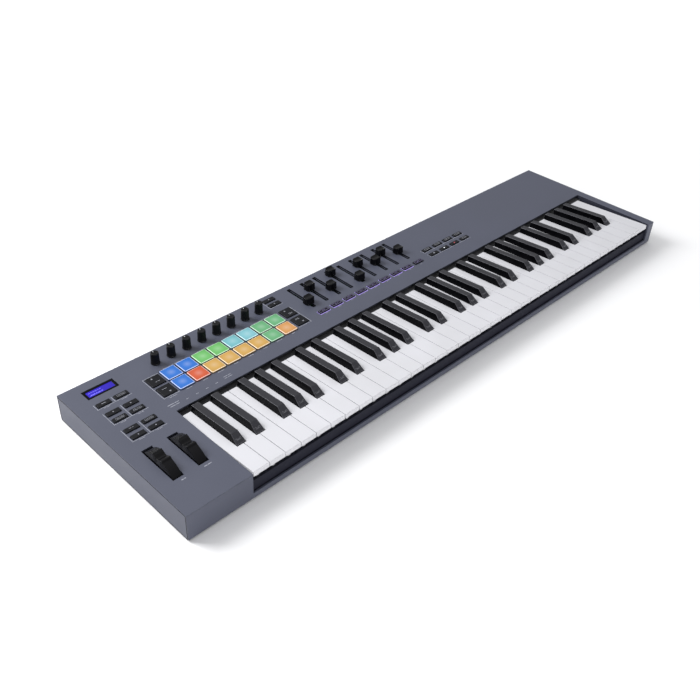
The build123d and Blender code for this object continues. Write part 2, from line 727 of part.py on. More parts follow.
def knob_pots():
    """A rotary sensor under each knob; the shaft runs in its bore."""
    width, depth, height = POT_SIZE
    pots = []
    for x in KNOB_X:
        low = CONTROL_BOARD_Z - height
        body = middle_block(x, KNOB_Y, width, depth, low, CONTROL_BOARD_Z)
        bore = post(x, KNOB_Y, SHAFT_R + AXLE_FIT, SHAFT_LOW - 0.5, CONTROL_BOARD_Z + 1)
        pots.append(body - bore)
    return group(pots)


def fader_cap(x, y):
    """A dished finger grip on a flat stem."""
    width, depth = FADER_CAP
    grip = rounded_block(x, y, width, depth, FADER_UNDER, FADER_TOP, *FADER_ROUND)
    dish_z = FADER_TOP - SCOOP_DEPTH + SCOOP_R
    grip -= bar_x(x - width, x + width, y, dish_z, SCOOP_R)
    return grip + middle_block(x, y, *STEM, SHAFT_LOW, FADER_UNDER)


def fader_tracks():
    """A slide sensor under each fader, open along its top."""
    front, back = TRACK_Y[0] + TRACK_WALL, TRACK_Y[1] - TRACK_WALL
    half, low = TRACK_SLOT
    tracks = []
    for x in FADER_X:
        body = block(x - TRACK_W / 2, x + TRACK_W / 2, *TRACK_Y, *TRACK_Z)
        tracks.append(body - block(x - half, x + half, front, back, low, TRACK_Z[1] + 1))
    return group(tracks)


def performance_pads():
    return group([
        rounded_block(x, y, PAD_SIZE, PAD_SIZE, PAD_UNDER, PAD_TOP, *PAD_ROUND)
        for x in PAD_X for y in PAD_Y
    ])


def button_groups():
    """Every kind of button: its places and its size."""
    return {
        "menu_buttons": (MENU_SPOTS, MENU_SIZE),
        "square_buttons": (SQUARE_SPOTS, SQUARE_SIZE),
        "bank_buttons": (BANK_SPOTS, BANK_SIZE),
        "fader_buttons": (FADER_BUTTON_SPOTS, STRIP_SIZE),
        "transport_buttons": (TRANSPORT_SPOTS, TRANSPORT_SIZE),
    }


def buttons(spots, size):
    return group([
        rounded_block(x, y, *size, BUTTON_UNDER, BUTTON_TOP, *BUTTON_ROUND) for x, y in spots
    ])


# ---- Wheels ----
def wheel_reach(index):
    """How far the axle reaches from the wheel's middle to each side, left then right."""
    outer = WHEEL_W / 2 + OUTER_GAP + BRACKET_T
    inner = WHEEL_W / 2 + INNER_GAP + BRACKET_T
    return (outer, inner) if index == 0 else (inner, outer)


def wheel(index):
    """A sector of a disc with a thumb dish between two ridges, on its own axle."""
    span = radians(WHEEL_SPAN)
    end = (WHEEL_R * sin(span), WHEEL_R * cos(span))
    mirror_end = (-end[0], end[1])
    face = make_face([
        Line((0, 0), mirror_end), ThreePointArc(mirror_end, (0, WHEEL_R), end), Line(end, (0, 0)),
    ])
    disc = extrude(Plane.YZ * face, WHEEL_W / 2, both=True)
    disc += Rot(0, 90, 0) * Cylinder(WHEEL_HUB_R, WHEEL_W)
    ridge_z = sqrt(WHEEL_R**2 - RIDGE_Y**2) - RIDGE_SINK
    ridge = Rot(0, 90, 0) * Cylinder(RIDGE_R, WHEEL_W)
    disc += [Pos(0, RIDGE_Y, ridge_z) * ridge, Pos(0, -RIDGE_Y, ridge_z) * ridge]
    disc -= Pos(0, 0, WHEEL_R + DISH_RISE) * Rot(0, 90, 0) * Cylinder(DISH_R, WHEEL_W + 2)
    left, right = wheel_reach(index)
    x = WHEEL_X[index]
    return spot(x, WHEEL_Y, WHEEL_Z) * disc + bar_x(x - left, x + right, WHEEL_Y, WHEEL_Z, AXLE_R)


def wheel_bracket():
    """A base with two cut-outs for the wheels and a bored plate at each end of the axles."""
    base_top = FLOOR_TOP + BRACKET_BASE_T
    bracket = block(*BRACKET_BASE, FLOOR_TOP, base_top)
    side, length = BRACKET_CUT
    size = WHEEL_W + side, length
    cuts = [middle_block(x, WHEEL_Y, *size, FLOOR_TOP - 1, base_top + 1) for x in WHEEL_X]
    plates = []
    for index, x in enumerate(WHEEL_X):
        left, right = wheel_reach(index)
        for low in (x - left, x + right - BRACKET_T):
            high = low + BRACKET_T
            plates.append(block(low, high, *BRACKET_PLATE_Y, FLOOR_TOP, BRACKET_TOP))
            cuts.append(bar_x(low - 1, high + 1, WHEEL_Y, WHEEL_Z, AXLE_R + AXLE_FIT))
    return bracket + plates - cuts


def wheel_sensors():
    """A small board with a magnet sensor beyond each axle's outer end."""
    front, back, low, high, chip_t = SENSOR_CHIP
    sensors = []
    for index, wheel_x in enumerate(WHEEL_X):
        x = wheel_x - wheel_reach(index)[0] - SENSOR_GAP
        face = x + BOARD_T
        board = block(x, face, *SENSOR_Y, FLOOR_TOP + BRACKET_BASE_T, BRACKET_TOP)
        sensors.append(board + block(face, face + chip_t, front, back, low, high))
    return group(sensors)


def pitch_wheel_spring():
    """The torsion spring that brings the pitch wheel back to its middle."""
    coil = Helix(pitch=COIL_PITCH, height=COIL_TURNS * COIL_PITCH, radius=COIL_R)
    section = Plane(coil @ 0, z_dir=coil % 0) * Circle(COIL_WIRE_R)
    spring = sweep(section, path=coil)
    x = WHEEL_X[0] + WHEEL_W / 2 + 0.6
    return spot(x, WHEEL_Y, WHEEL_Z) * Rot(0, 90, 0) * spring


# ---- Sockets ----
def socket_body(x, size, plate):
    """A socket's block on the main board and its plate, flush with the case's back."""
    width, depth, height = size
    front = SOCKET_FACE - depth
    low = MAIN_BOARD_TOP
    body = block(x - width / 2, x + width / 2, front, SOCKET_FACE, low, low + height)
    return body + block(*plate, SOCKET_FACE - WALL, SOCKET_FACE, DECK_Z, TRAY_TOP)


def usb_socket():
    shell = socket_body(USB_X, USB_SIZE, USB_PLATE)
    width, depth, height = USB_MOUTH
    low = MAIN_BOARD_TOP + (USB_SIZE[2] - height) / 2
    front, back = SOCKET_FACE - depth, SOCKET_FACE + 1
    return shell - block(USB_X - width / 2, USB_X + width / 2, front, back, low, low + height)


def midi_socket():
    z = MAIN_BOARD_TOP + MIDI_SIZE[2] / 2
    bore = bar_y(MIDI_X, SOCKET_FACE - MIDI_BORE_L, SOCKET_FACE + 1, z, MIDI_BORE_R)
    return socket_body(MIDI_X, MIDI_SIZE, MIDI_PLATE) - bore


def pedal_jacks():
    z = MAIN_BOARD_TOP + JACK_SIZE[2] / 2
    jacks = []
    for x, plate in zip(JACK_X, JACK_PLATES):
        bore = bar_y(x, SOCKET_FACE - JACK_BORE_L, SOCKET_FACE + 1, z, JACK_BORE_R)
        jacks.append(socket_body(x, JACK_SIZE, plate) - bore)
    return group(jacks)


def build_nodes():
    """Every node of the assembly by name."""
    nodes = {
        "bottom_case": bottom_case(),
        "top_panel": top_panel(),
        "end_caps": end_caps(),
        "rubber_feet": rubber_feet(),
        "case_screws": case_screws(),
        "key_frame": key_frame(),
        "key_pivot_rod": key_pivot_rod(),
        "key_contact_board": key_contact_board(),
        "key_contact_strips": key_contact_strips(),
        "key_springs": key_springs(),
        "key_felts": key_felts(),
        "control_board": control_board(),
        "main_board": main_board(),
        "display_module": display_module(),
        "display_window": display_window(),
        "knob_pots": knob_pots(),
        "fader_tracks": fader_tracks(),
        "performance_pads": performance_pads(),
        "pitch_wheel": wheel(0),
        "mod_wheel": wheel(1),
        "wheel_bracket": wheel_bracket(),
        "wheel_sensors": wheel_sensors(),
        "pitch_wheel_spring": pitch_wheel_spring(),
        "usb_socket": usb_socket(),
        "midi_socket": midi_socket(),
        "pedal_jacks": pedal_jacks(),
    }
    for note in NOTES:
        nodes["keys_" + note] = keys_of(note)
    for name, (spots, size) in button_groups().items():
        nodes[name] = buttons(spots, size)
    for number, x in enumerate(KNOB_X, start=1):
        nodes[f"rotary_knob_{number}"] = rotary_knob(x)
    for number, (x, y) in enumerate(zip(FADER_X, FADER_REST_Y), start=1):
        nodes[f"fader_cap_{number}"] = fader_cap(x, y)
    return nodes


os.makedirs("parts", exist_ok=True)
for name, shape in build_nodes().items():
    export_step(shape, f"parts/{name}.step")
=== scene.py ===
from math import cos, pi, radians, sin

import bmesh
import bpy
from mathutils import Matrix, Vector


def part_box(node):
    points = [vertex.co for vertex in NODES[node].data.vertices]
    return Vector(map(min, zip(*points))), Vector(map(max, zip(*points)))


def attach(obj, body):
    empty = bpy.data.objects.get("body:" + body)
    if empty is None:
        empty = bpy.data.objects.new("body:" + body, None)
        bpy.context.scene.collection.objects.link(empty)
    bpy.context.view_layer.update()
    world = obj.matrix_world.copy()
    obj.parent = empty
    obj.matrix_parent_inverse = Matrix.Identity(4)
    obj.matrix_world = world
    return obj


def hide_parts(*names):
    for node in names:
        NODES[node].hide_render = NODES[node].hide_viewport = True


# A 61-key synthesizer controller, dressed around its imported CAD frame. Metres, +Z up.

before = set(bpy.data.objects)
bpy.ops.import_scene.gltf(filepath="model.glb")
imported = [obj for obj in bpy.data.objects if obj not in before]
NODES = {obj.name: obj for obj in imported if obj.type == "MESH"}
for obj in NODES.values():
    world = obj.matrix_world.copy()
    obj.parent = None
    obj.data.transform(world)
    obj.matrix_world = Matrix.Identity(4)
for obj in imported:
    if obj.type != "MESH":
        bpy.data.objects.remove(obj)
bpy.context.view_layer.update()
MM = 0.001

# ---- Places read from the frame ----
CASE_LOW, CASE_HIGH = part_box("top_panel")
PANEL_TOP = CASE_HIGH.z

# ---- Ink: its thickness on the panel and on buttons, and how far it sinks in ----
PRINT_T = 0.04 * MM
GLYPH_T = 0.05 * MM
INK_SINK = 0.005 * MM
PRINT_Z = PANEL_TOP - INK_SINK


def box_of(points):
    """The box that holds some points."""
    return tuple(Vector(pick(p[i] for p in points) for i in range(3)) for pick in (min, max))


def solid_boxes(node):
    """The box of each separate solid of a CAD node, from left to right, then front to back."""
    mesh = bmesh.new()
    mesh.from_mesh(NODES[node].data)
    bmesh.ops.remove_doubles(mesh, verts=mesh.verts, dist=1e-6)
    unseen = set(mesh.verts)
    boxes = []
    while unseen:
        island, edge = [], [unseen.pop()]
        while edge:
            vert = edge.pop()
            island.append(vert.co.copy())
            for link in vert.link_edges:
                other = link.other_vert(vert)
                if other in unseen:
                    unseen.remove(other)
                    edge.append(other)
        boxes.append(box_of(island))
    mesh.free()
    return sorted(boxes, key=lambda b: (round(b[0].x, 3), round(b[0].y, 3)))


def middle(box):
    return (box[0] + box[1]) / 2


def around(boxes):
    """The box that holds several boxes."""
    return box_of([corner for box in boxes for corner in box])


def face_of(box):
    """Where ink starts on a box's top: x and y of its middle, and z."""
    return (*middle(box).xy, box[1].z - INK_SINK)


# ---- Where the slate paint ends, and where painted shade darkens the key bay ----
# The gaps run from the outermost keys to the bay's side walls. The painted shade stops just under the
# bay's rim, so the slate paint runs over it.
BAY_LEFT_GAP = 1.2 * MM
BAY_RIGHT_GAP = 0.7 * MM
BAY_FRONT_WALL = 2.2 * MM
BAY_FLOOR = 3.5 * MM
SHADE_RIM_GAP = 0.15 * MM
# A socket's back plate, with a little to spare.
PLATE_T = 2.6 * MM


# ---- Colours and node materials ----
def colour(red, green, blue):
    """A display colour from 0 to 255, as the linear value that shaders take."""
    def linear(c):
        c /= 255
        return c / 12.92 if c <= 0.04045 else ((c + 0.055) / 1.055) ** 2.4
    return (linear(red), linear(green), linear(blue), 1.0)


def scaled(tone, factor):
    return (*(min(1.0, c * factor) for c in tone[:3]), 1.0)


class Finish:
    """A material being built: one Principled shader and the nodes that feed it."""

    def __init__(self, name, **sockets):
        self.material = bpy.data.materials.new(name)
        self.material.use_nodes = True
        self.tree = self.material.node_tree
        self.shader = self.tree.nodes["Principled BSDF"]
        for socket, value in sockets.items():
            self.shader.inputs[socket.replace("_", " ")].default_value = value
        self.place = self.tree.nodes.new("ShaderNodeTexCoord").outputs["Object"]

    def node(self, kind, **inputs):
        made = self.tree.nodes.new("ShaderNode" + kind)
        for key, value in inputs.items():
            self.feed(made.inputs[key.replace("_", " ")], value)
        return made

    def feed(self, socket, value):
        if isinstance(value, bpy.types.NodeSocket):
            self.tree.links.new(value, socket)
        else:
            socket.default_value = value

    def noise(self, size, detail=3.0, roughness=0.55, stretch=None):
        """Noise whose blobs are about that size."""
        place = self.place
        if stretch:
            mapping = self.node("Mapping", Vector=place)
            mapping.inputs["Scale"].default_value = stretch
            place = mapping.outputs["Vector"]
        return self.node("TexNoise", Vector=place, Scale=1 / size, Detail=detail,
                         Roughness=roughness).outputs["Fac"]

    def ramp(self, value, stops):
        """A ramp from stops of (position, colour)."""
        made = self.node("ValToRGB", Fac=value)
        elements = made.color_ramp.elements
        while len(elements) < len(stops):
            elements.new(0.5)
        for element, (position, tone) in zip(elements, stops):
            element.position = position
            element.color = tone
        return made.outputs["Color"]

    def range(self, value, low, high, start=0.0, end=1.0):
        """A value from start to end, stretched to run from low to high."""
        made = self.node("MapRange", Value=value)
        for key, number in (("From Min", start), ("From Max", end), ("To Min", low), ("To Max", high)):
            made.inputs[key].default_value = number
        return made.outputs["Result"]

    def math(self, operation, first, second=0.0):
        made = self.tree.nodes.new("ShaderNodeMath")
        made.operation = operation
        self.feed(made.inputs[0], first)
        self.feed(made.inputs[1], second)
        return made.outputs["Value"]

    def mix(self, share, first, second):
        made = self.tree.nodes.new("ShaderNodeMix")
        made.data_type = "RGBA"
        self.feed(made.inputs["Factor"], share)
        self.feed(made.inputs["A"], first)
        self.feed(made.inputs["B"], second)
        return made.outputs["Result"]

    def axis(self, name):
        """Where the surface is along X, Y or Z."""
        return self.node("SeparateXYZ", Vector=self.place).outputs[name]

    def facing(self, name):
        """How far the surface faces along X, Y or Z, from -1 to 1."""
        normal = self.node("NewGeometry").outputs["Normal"]
        return self.node("SeparateXYZ", Vector=normal).outputs[name]

    def inside(self, low, high):
        """1 inside the box from low to high, and 0 outside."""
        share = None
        for name, start, end in zip("XYZ", low, high):
            place = self.axis(name)
            for operation, limit in (("GREATER_THAN", start), ("LESS_THAN", end)):
                test = self.math(operation, place, limit)
                share = self.math("MULTIPLY", share, test) if share else test
        return share

    def bump(self, height, strength, distance, round_edges=0.0):
        """Surface relief, over edges that look rounded to the given radius."""
        made = self.node("Bump", Height=height, Strength=strength, Distance=distance)
        if round_edges:
            rounded = self.node("Bevel", Radius=round_edges)
            rounded.samples = 4
            self.feed(made.inputs["Normal"], rounded.outputs["Normal"])
        self.feed(self.shader.inputs["Normal"], made.outputs["Normal"])

    def paint(self, value):
        self.feed(self.shader.inputs["Base Color"], value)

    def gloss(self, value):
        self.feed(self.shader.inputs["Roughness"], value)

    def glow(self, value):
        self.feed(self.shader.inputs["Emission Color"], value)


def grained(name, tone, rough, grain=0.35 * MM, depth=0.03 * MM, mottle=0.06, round_edges=0.0,
            **sockets):
    """Moulded plastic, rubber or paint: fine grain, slow mottling and uneven gloss."""
    made = Finish(name, **sockets)
    fine = made.noise(grain, 4.0)
    slow = made.noise(38 * MM, 2.0)
    speckle = made.noise(1.4 * MM, 2.0)
    both = made.math("ADD", made.math("MULTIPLY", slow, 0.6), made.math("MULTIPLY", speckle, 0.4))
    made.paint(made.ramp(both, [(0.3, scaled(tone, 1 - mottle)), (0.7, scaled(tone, 1 + mottle))]))
    made.gloss(made.range(made.math("ADD", fine, slow), rough - 0.06, rough + 0.06, 0.6, 1.4))
    made.bump(fine, 0.35, depth, round_edges)
    return made.material


def case_finish(name, tone):
    """Slate paint over a fine texture, a little lighter on the edges, with painted shade inside the
    key bay.
    """
    made = Finish(name, Specular_IOR_Level=0.4)
    # Painted shade: inside the key bay the slate gives way to a flat dark colour.
    made.paint(made.mix(bay_shade_share(made), slate_skin(made, tone), BAY_PAINTED_SHADE))
    return made.material


def slate_skin(made, tone):
    """Fine-grained paint: sets the relief and the gloss, and returns the colour."""
    fine = made.noise(0.32 * MM, 4.0)
    slow = made.noise(70 * MM, 2.0)
    base = made.ramp(slow, [(0.3, scaled(tone, 0.96)), (0.7, scaled(tone, 1.04))])
    made.gloss(made.range(made.math("ADD", fine, slow), 0.4, 0.54, 0.6, 1.4))
    made.bump(fine, 0.4, 0.03 * MM, 0.35 * MM)
    return made.mix(made.range(fine, 0.0, 0.16, 0.35, 0.75), base, scaled(tone, 1.7))


def socket_boxes(node):
    """The boxes of a node's sockets, each run out through the back plate that it stands in."""
    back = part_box(node)[1].y
    inner = [v.co for v in NODES[node].data.vertices if v.co.y < back - PLATE_T]
    groups = [inner]
    if node == "pedal_jacks":
        split = middle(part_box(node)).x
        groups = [[p for p in inner if p.x < split], [p for p in inner if p.x >= split]]
    return [box_of([*group, group[0] + Vector((0, CASE_HIGH.y - CASE_LOW.y, 0))]) for group in groups]


def socket_finish(name, node, tone, metallic):
    """A socket's own plastic or steel, with slate paint on the back plate around it."""
    made = Finish(name, Specular_IOR_Level=0.4)
    own = made.math("LESS_THAN", made.axis("Y"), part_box(node)[1].y - PLATE_T)
    for low, high in socket_boxes(node):
        own = made.math("MAXIMUM", own, made.inside(low, high))
    scuffs = made.noise(1.5 * MM, 4.0)
    body = made.ramp(scuffs, [(0.3, scaled(tone, 0.85)), (0.7, scaled(tone, 1.1))])
    made.paint(made.mix(own, slate_skin(made, SLATE), body))
    made.feed(made.shader.inputs["Metallic"], made.math("MULTIPLY", own, metallic))
    return made.material


def bay_shade_share(made):
    """1 inside the key bay, where the case gets painted shade, and 0 outside."""
    low = (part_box("keys_c")[0].x - BAY_LEFT_GAP, CASE_LOW.y + BAY_FRONT_WALL, BAY_FLOOR)
    high = (
        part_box("key_frame")[1].x + BAY_RIGHT_GAP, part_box("key_felts")[1].y, PANEL_TOP - SHADE_RIM_GAP,
    )
    return made.inside(low, high)


def white_key_finish():
    """Satin white plastic with faint handling marks and a slightly uneven gloss."""
    made = Finish("white_key_finish", Specular_IOR_Level=0.4, Coat_Weight=0.15, Coat_Roughness=0.15)
    slow = made.noise(60 * MM, 2.0)
    marks = made.noise(3 * MM, 3.0, stretch=(1.0, 0.3, 1.0))
    fine = made.noise(0.5 * MM, 2.0)
    made.paint(made.ramp(slow, [(0.3, WHITE_LOW), (0.7, WHITE_HIGH)]))
    made.gloss(made.range(marks, 0.28, 0.34, 0.3, 0.7))
    made.bump(fine, 0.06, 0.01 * MM, 0.4 * MM)
    return made.material


def rounded_normal_up(made, radius):
    """How far up the surface faces once its edges are rounded to the given radius."""
    rounded = made.node("Bevel", Radius=radius)
    rounded.samples = 6
    return made.node("SeparateXYZ", Vector=rounded.outputs["Normal"]).outputs["Z"]


def black_key_finish():
    """Black plastic with lengthwise grain, with painted light greying its top and front and painted
    highlights pale along its edges.
    """
    made = Finish("black_key_finish")
    grain = made.noise(0.5 * MM, 4.0, stretch=(2.2, 0.5, 2.2))
    slow = made.noise(16 * MM, 2.0)
    body = made.ramp(slow, [(0.3, colour(4, 4, 6)), (0.7, colour(8, 8, 11))])
    # Painted light: faces that turn up get a lighter grey than the sides.
    top_painted_light = made.ramp(grain, [(0.3, colour(24, 24, 28)), (0.7, colour(52, 52, 58))])
    up = made.facing("Z")
    toward = made.math("MULTIPLY", made.facing("Y"), -1.0)
    top_lit_colour = made.mix(made.range(up, 0.0, 1.0, 0.45, 0.8), body, top_painted_light)
    # Painted highlight: where the rounded edges turn, the colour goes pale.
    edge = made.math("SUBTRACT", up, rounded_normal_up(made, 1.1 * MM))
    edge_painted_highlight = made.range(made.math("ABSOLUTE", edge), 0.0, 0.85, 0.06, 0.22)
    # Painted light: faces that turn to the front get a lighter grey as well.
    front_painted_light = made.ramp(grain, [(0.3, colour(34, 34, 38)), (0.7, colour(60, 60, 66))])
    front_lit_colour = made.mix(made.range(toward, 0.0, 1.0, 0.25, 0.6), top_lit_colour, front_painted_light)
    made.paint(made.mix(edge_painted_highlight, front_lit_colour, colour(118, 118, 124)))
    # The sides also get less specular than the top, which keeps them darker.
    made.feed(made.shader.inputs["Specular IOR Level"], made.range(up, 0.05, 0.3, 0.45, 0.8))
    made.gloss(made.range(made.math("ADD", grain, slow), 0.26, 0.38, 0.6, 1.4))
    made.bump(grain, 0.35, 0.03 * MM, 0.5 * MM)
    return made.material


def metal_finish(name, tone, rough, stretch=(1, 1, 1)):
    """Bare metal with fine drawn scratches."""
    made = Finish(name, Metallic=1.0)
    scratch = made.noise(0.6 * MM, 5.0, stretch=stretch)
    slow = made.noise(6 * MM, 2.0)
    made.paint(made.ramp(slow, [(0.3, scaled(tone, 0.86)), (0.7, scaled(tone, 1.06))]))
    made.gloss(made.range(scratch, rough - 0.08, rough + 0.1, 0.3, 0.7))
    made.bump(scratch, 0.25, 0.01 * MM)
    return made.material


def board_finish():
    """A circuit board: dark lacquer with lighter copper tracks under it."""
    made = Finish("circuit_board_finish", Specular_IOR_Level=0.5)
    tracks = made.node("TexBrick", Vector=made.place, Scale=160.0, Mortar_Size=0.03)
    made.feed(tracks.inputs["Color1"], colour(16, 58, 40))
    made.feed(tracks.inputs["Color2"], colour(14, 50, 36))
    made.feed(tracks.inputs["Mortar"], colour(40, 96, 60))
    mottled = made.mix(made.noise(2 * MM), tracks.outputs["Color"], colour(12, 44, 32))
    made.paint(mottled)
    made.gloss(made.range(made.noise(1.2 * MM), 0.25, 0.4))
    made.bump(tracks.outputs["Fac"], 0.2, 0.03 * MM)
    return made.material


def felt_finish():
    """Dark felt with a fibrous nap."""
    made = Finish("felt_finish", Specular_IOR_Level=0.15, Sheen_Weight=0.25, Sheen_Roughness=0.6)
    nap = made.noise(0.45 * MM, 6.0, 0.75)
    made.paint(made.ramp(nap, [(0.3, colour(14, 14, 17)), (0.75, colour(42, 42, 48))]))
    made.gloss(made.range(nap, 0.85, 1.0))
    made.bump(nap, 0.8, 0.3 * MM)
    return made.material


def pad_finish(name, tone):
    """Frosted silicone lit from below: bright in the middle and along the moulded rim, with painted
    shade on its side walls.
    """
    made = Finish(name, Emission_Strength=0.42, Specular_IOR_Level=0.3)
    low, high = solid_boxes("performance_pads")[0]
    half = (high.x - low.x) / 2
    reach_x = made.math("ABSOLUTE", made.math("DIVIDE", made.axis("X"), half))
    reach_y = made.math("ABSOLUTE", made.math("DIVIDE", made.axis("Y"), half))
    squared = made.math("MAXIMUM", reach_x, reach_y)
    round_x = made.math("MULTIPLY", reach_x, reach_x)
    round_y = made.math("MULTIPLY", reach_y, reach_y)
    radial = made.math("SQRT", made.math("ADD", round_x, round_y))
    frost = made.noise(0.6 * MM, 4.0)
    spread = made.math("ADD", radial, made.range(frost, -0.05, 0.05))
    pale = tuple(0.62 * c + 0.38 for c in tone[:3]) + (1.0,)
    body = made.ramp(spread, [(0.0, pale), (0.6, scaled(tone, 1.08)), (1.0, scaled(tone, 0.78))])
    rim = made.range(squared, 0.0, 1.0, 0.90, 0.93)
    bright = tuple(0.6 * c + 0.4 for c in tone[:3]) + (1.0,)
    face = made.range(made.facing("Z"), 0.0, 1.0, 0.3, 0.7)
    lit = made.mix(rim, body, bright)
    made.glow(made.mix(face, scaled(tone, 0.03), lit))
    # Painted shade: the side walls get a much darker colour than the top.
    made.paint(made.mix(face, scaled(tone, 0.18), made.mix(rim, scaled(tone, 0.55), bright)))
    made.gloss(made.range(frost, 0.48, 0.68))
    made.bump(frost, 0.3, 0.04 * MM)
    return made.material


def light_finish(name, tone, strength):
    """A light guide: glowing plastic, a little uneven along its length."""
    made = Finish(name, Emission_Strength=strength)
    along = made.noise(5 * MM, 2.0)
    made.glow(made.ramp(along, [(0.3, scaled(tone, 0.8)), (0.7, tone)]))
    made.paint(made.ramp(along, [(0.3, scaled(tone, 0.4)), (0.7, scaled(tone, 0.6))]))
    made.gloss(made.range(along, 0.35, 0.5))
    made.bump(along, 0.1, 0.02 * MM)
    return made.material


def screen_finish():
    """The lit liquid crystal: a backlight that fades from its left end to its right, seen through a
    fine dot grid.
    """
    made = Finish("screen_finish", Emission_Strength=0.6, Specular_IOR_Level=0.25)
    low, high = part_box("display_window")
    across = made.range(made.axis("X"), 0.0, 1.0, low.x, high.x)
    grid = made.node("TexBrick", Vector=made.place, Scale=900.0, Mortar_Size=0.02)
    grid.offset = 0.0
    made.feed(grid.inputs["Color1"], (1, 1, 1, 1))
    made.feed(grid.inputs["Color2"], (1, 1, 1, 1))
    made.feed(grid.inputs["Mortar"], (0.72, 0.72, 0.72, 1))
    back = made.ramp(across, [(0.0, colour(62, 44, 236)), (0.5, colour(48, 28, 214)),
                              (1.0, colour(42, 22, 190))])
    dots = made.node("Mix")
    dots.data_type = "RGBA"
    dots.blend_type = "MULTIPLY"
    for key, value in (("Factor", 1.0), ("A", back), ("B", grid.outputs["Color"])):
        made.feed(dots.inputs[key], value)
    made.glow(dots.outputs["Result"])
    made.paint(made.mix(made.noise(2 * MM), colour(24, 14, 90), colour(32, 20, 110)))
    made.gloss(made.range(made.noise(9 * MM), 0.1, 0.2))
    made.bump(grid.outputs["Fac"], 0.1, 0.01 * MM)
    return made.material


def ink_finish(name, tone):
    """Screen-printed ink: slightly uneven cover."""
    made = Finish(name, Specular_IOR_Level=0.3)
    cover = made.noise(0.5 * MM, 3.0)
    made.paint(made.ramp(cover, [(0.3, scaled(tone, 0.86)), (0.7, tone)]))
    made.gloss(made.range(cover, 0.5, 0.65))
    made.bump(cover, 0.15, 0.01 * MM)
    return made.material


SLATE = colour(76, 79, 93)
# The painted shade on the key bay's walls and floor.
BAY_PAINTED_SHADE = colour(44, 46, 58)
WHITE_LOW = colour(204, 204, 208)
WHITE_HIGH = colour(210, 210, 215)
FINISHES = {
    "case_plastic": case_finish("case_finish", SLATE),
    "panel_plastic": case_finish("panel_finish", SLATE),
    "frame_plastic": grained("frame_finish", colour(34, 35, 46), 0.6, Specular_IOR_Level=0.15),
    "white_key_plastic": white_key_finish(),
    "black_key_plastic": black_key_finish(),
    "wheel_plastic": grained("wheel_finish", colour(5, 5, 8), 0.24, depth=0.012 * MM,
                             round_edges=0.4 * MM, Specular_IOR_Level=0.22),
    "knob_plastic": grained("knob_finish", colour(8, 9, 13), 0.36, Specular_IOR_Level=0.18),
    "pad_silicone": grained("pad_finish", colour(150, 150, 155), 0.5),
    "button_rubber": grained("button_finish", colour(14, 15, 20), 0.45, Specular_IOR_Level=0.2),
    "window": grained("bezel_finish", colour(4, 4, 6), 0.3, depth=0.004 * MM,
                      Specular_IOR_Level=0.08),
    "screen": grained("screen_housing_finish", colour(20, 20, 24), 0.45),
    "circuit_board": board_finish(),
    "part_housing": grained("housing_finish", colour(20, 20, 22), 0.5),
    "dome_silicone": grained("dome_finish", colour(120, 122, 128), 0.6),
    "felt": felt_finish(),
    "rubber": grained("foot_finish", colour(26, 26, 27), 0.8, grain=0.7 * MM, depth=0.1 * MM),
    "screw_steel": metal_finish("screw_finish", colour(150, 150, 155), 0.35),
    "steel_rod": metal_finish("rod_finish", colour(190, 190, 195), 0.25, (0.1, 1, 1)),
    "spring_steel": metal_finish("spring_finish", colour(170, 168, 160), 0.3),
    "socket_steel": metal_finish("socket_finish", colour(186, 188, 192), 0.28, (1, 0.2, 1)),
}
FADER_FINISH = grained("fader_finish", colour(5, 5, 8), 0.2, depth=0.01 * MM, mottle=0.15,
                       Specular_IOR_Level=0.2)
TRIM_FINISH = grained("trim_finish", colour(4, 4, 5), 0.6, Specular_IOR_Level=0.05)
NODE_FINISHES = {
    "fader_tracks": TRIM_FINISH,
    "usb_socket": socket_finish("usb_finish", "usb_socket", colour(186, 188, 192), 1.0),
    "midi_socket": socket_finish("midi_finish", "midi_socket", colour(18, 18, 20), 0.0),
    "pedal_jacks": socket_finish("jack_finish", "pedal_jacks", colour(16, 16, 18), 0.0),
}
PRINT_INK = ink_finish("print_ink", colour(170, 172, 182))
GLYPH_INK = ink_finish("glyph_ink", colour(150, 152, 160))
WHITE_INK = ink_finish("white_ink", colour(238, 240, 244))


# ---- Mesh building ----
def rounded_outline(width, depth, radius, steps=6):
    """A rectangle with round corners about the middle, anticlockwise from above."""
    points = []
    for quarter, (sx, sy) in enumerate(((1, 1), (-1, 1), (-1, -1), (1, -1))):
        cx, cy = sx * (width / 2 - radius), sy * (depth / 2 - radius)
        for step in range(steps + 1):
            angle = (quarter + step / steps) * pi / 2
            points.append((cx + radius * cos(angle), cy + radius * sin(angle)))
    return points


def circle_outline(radius, count=24):
    return [(radius * cos(2 * pi * i / count), radius * sin(2 * pi * i / count)) for i in range(count)]


def placed(outline, x, y, z):
    return [(x + px, y + py, z) for px, py in outline]


def add_skin(mesh, loops, closed=False):
    """Walls between loops of equal length; unless closed on itself, both ends are filled."""
    rows = [[mesh.verts.new(point) for point in loop] for loop in loops]
    pairs = list(zip(rows, rows[1:])) + ([(rows[-1], rows[0])] if closed else [])
    for low, high in pairs:
        for i in range(len(low)):
            j = (i + 1) % len(low)
            mesh.faces.new((low[i], low[j], high[j], high[i]))
    if not closed:
        mesh.faces.new(rows[0][::-1])
        mesh.faces.new(rows[-1])


def add_slab(mesh, outline, x, y, z, thickness):
    """A flat shape with a thickness, standing on z."""
    add_skin(mesh, [placed(outline, x, y, z), placed(outline, x, y, z + thickness)])


def add_ring(mesh, outer, inner, x, y, z, thickness):
    """A flat frame between two outlines of equal length."""
    loops = [
        placed(outer, x, y, z), placed(outer, x, y, z + thickness),
        placed(inner, x, y, z + thickness), placed(inner, x, y, z),
    ]
    add_skin(mesh, loops, closed=True)


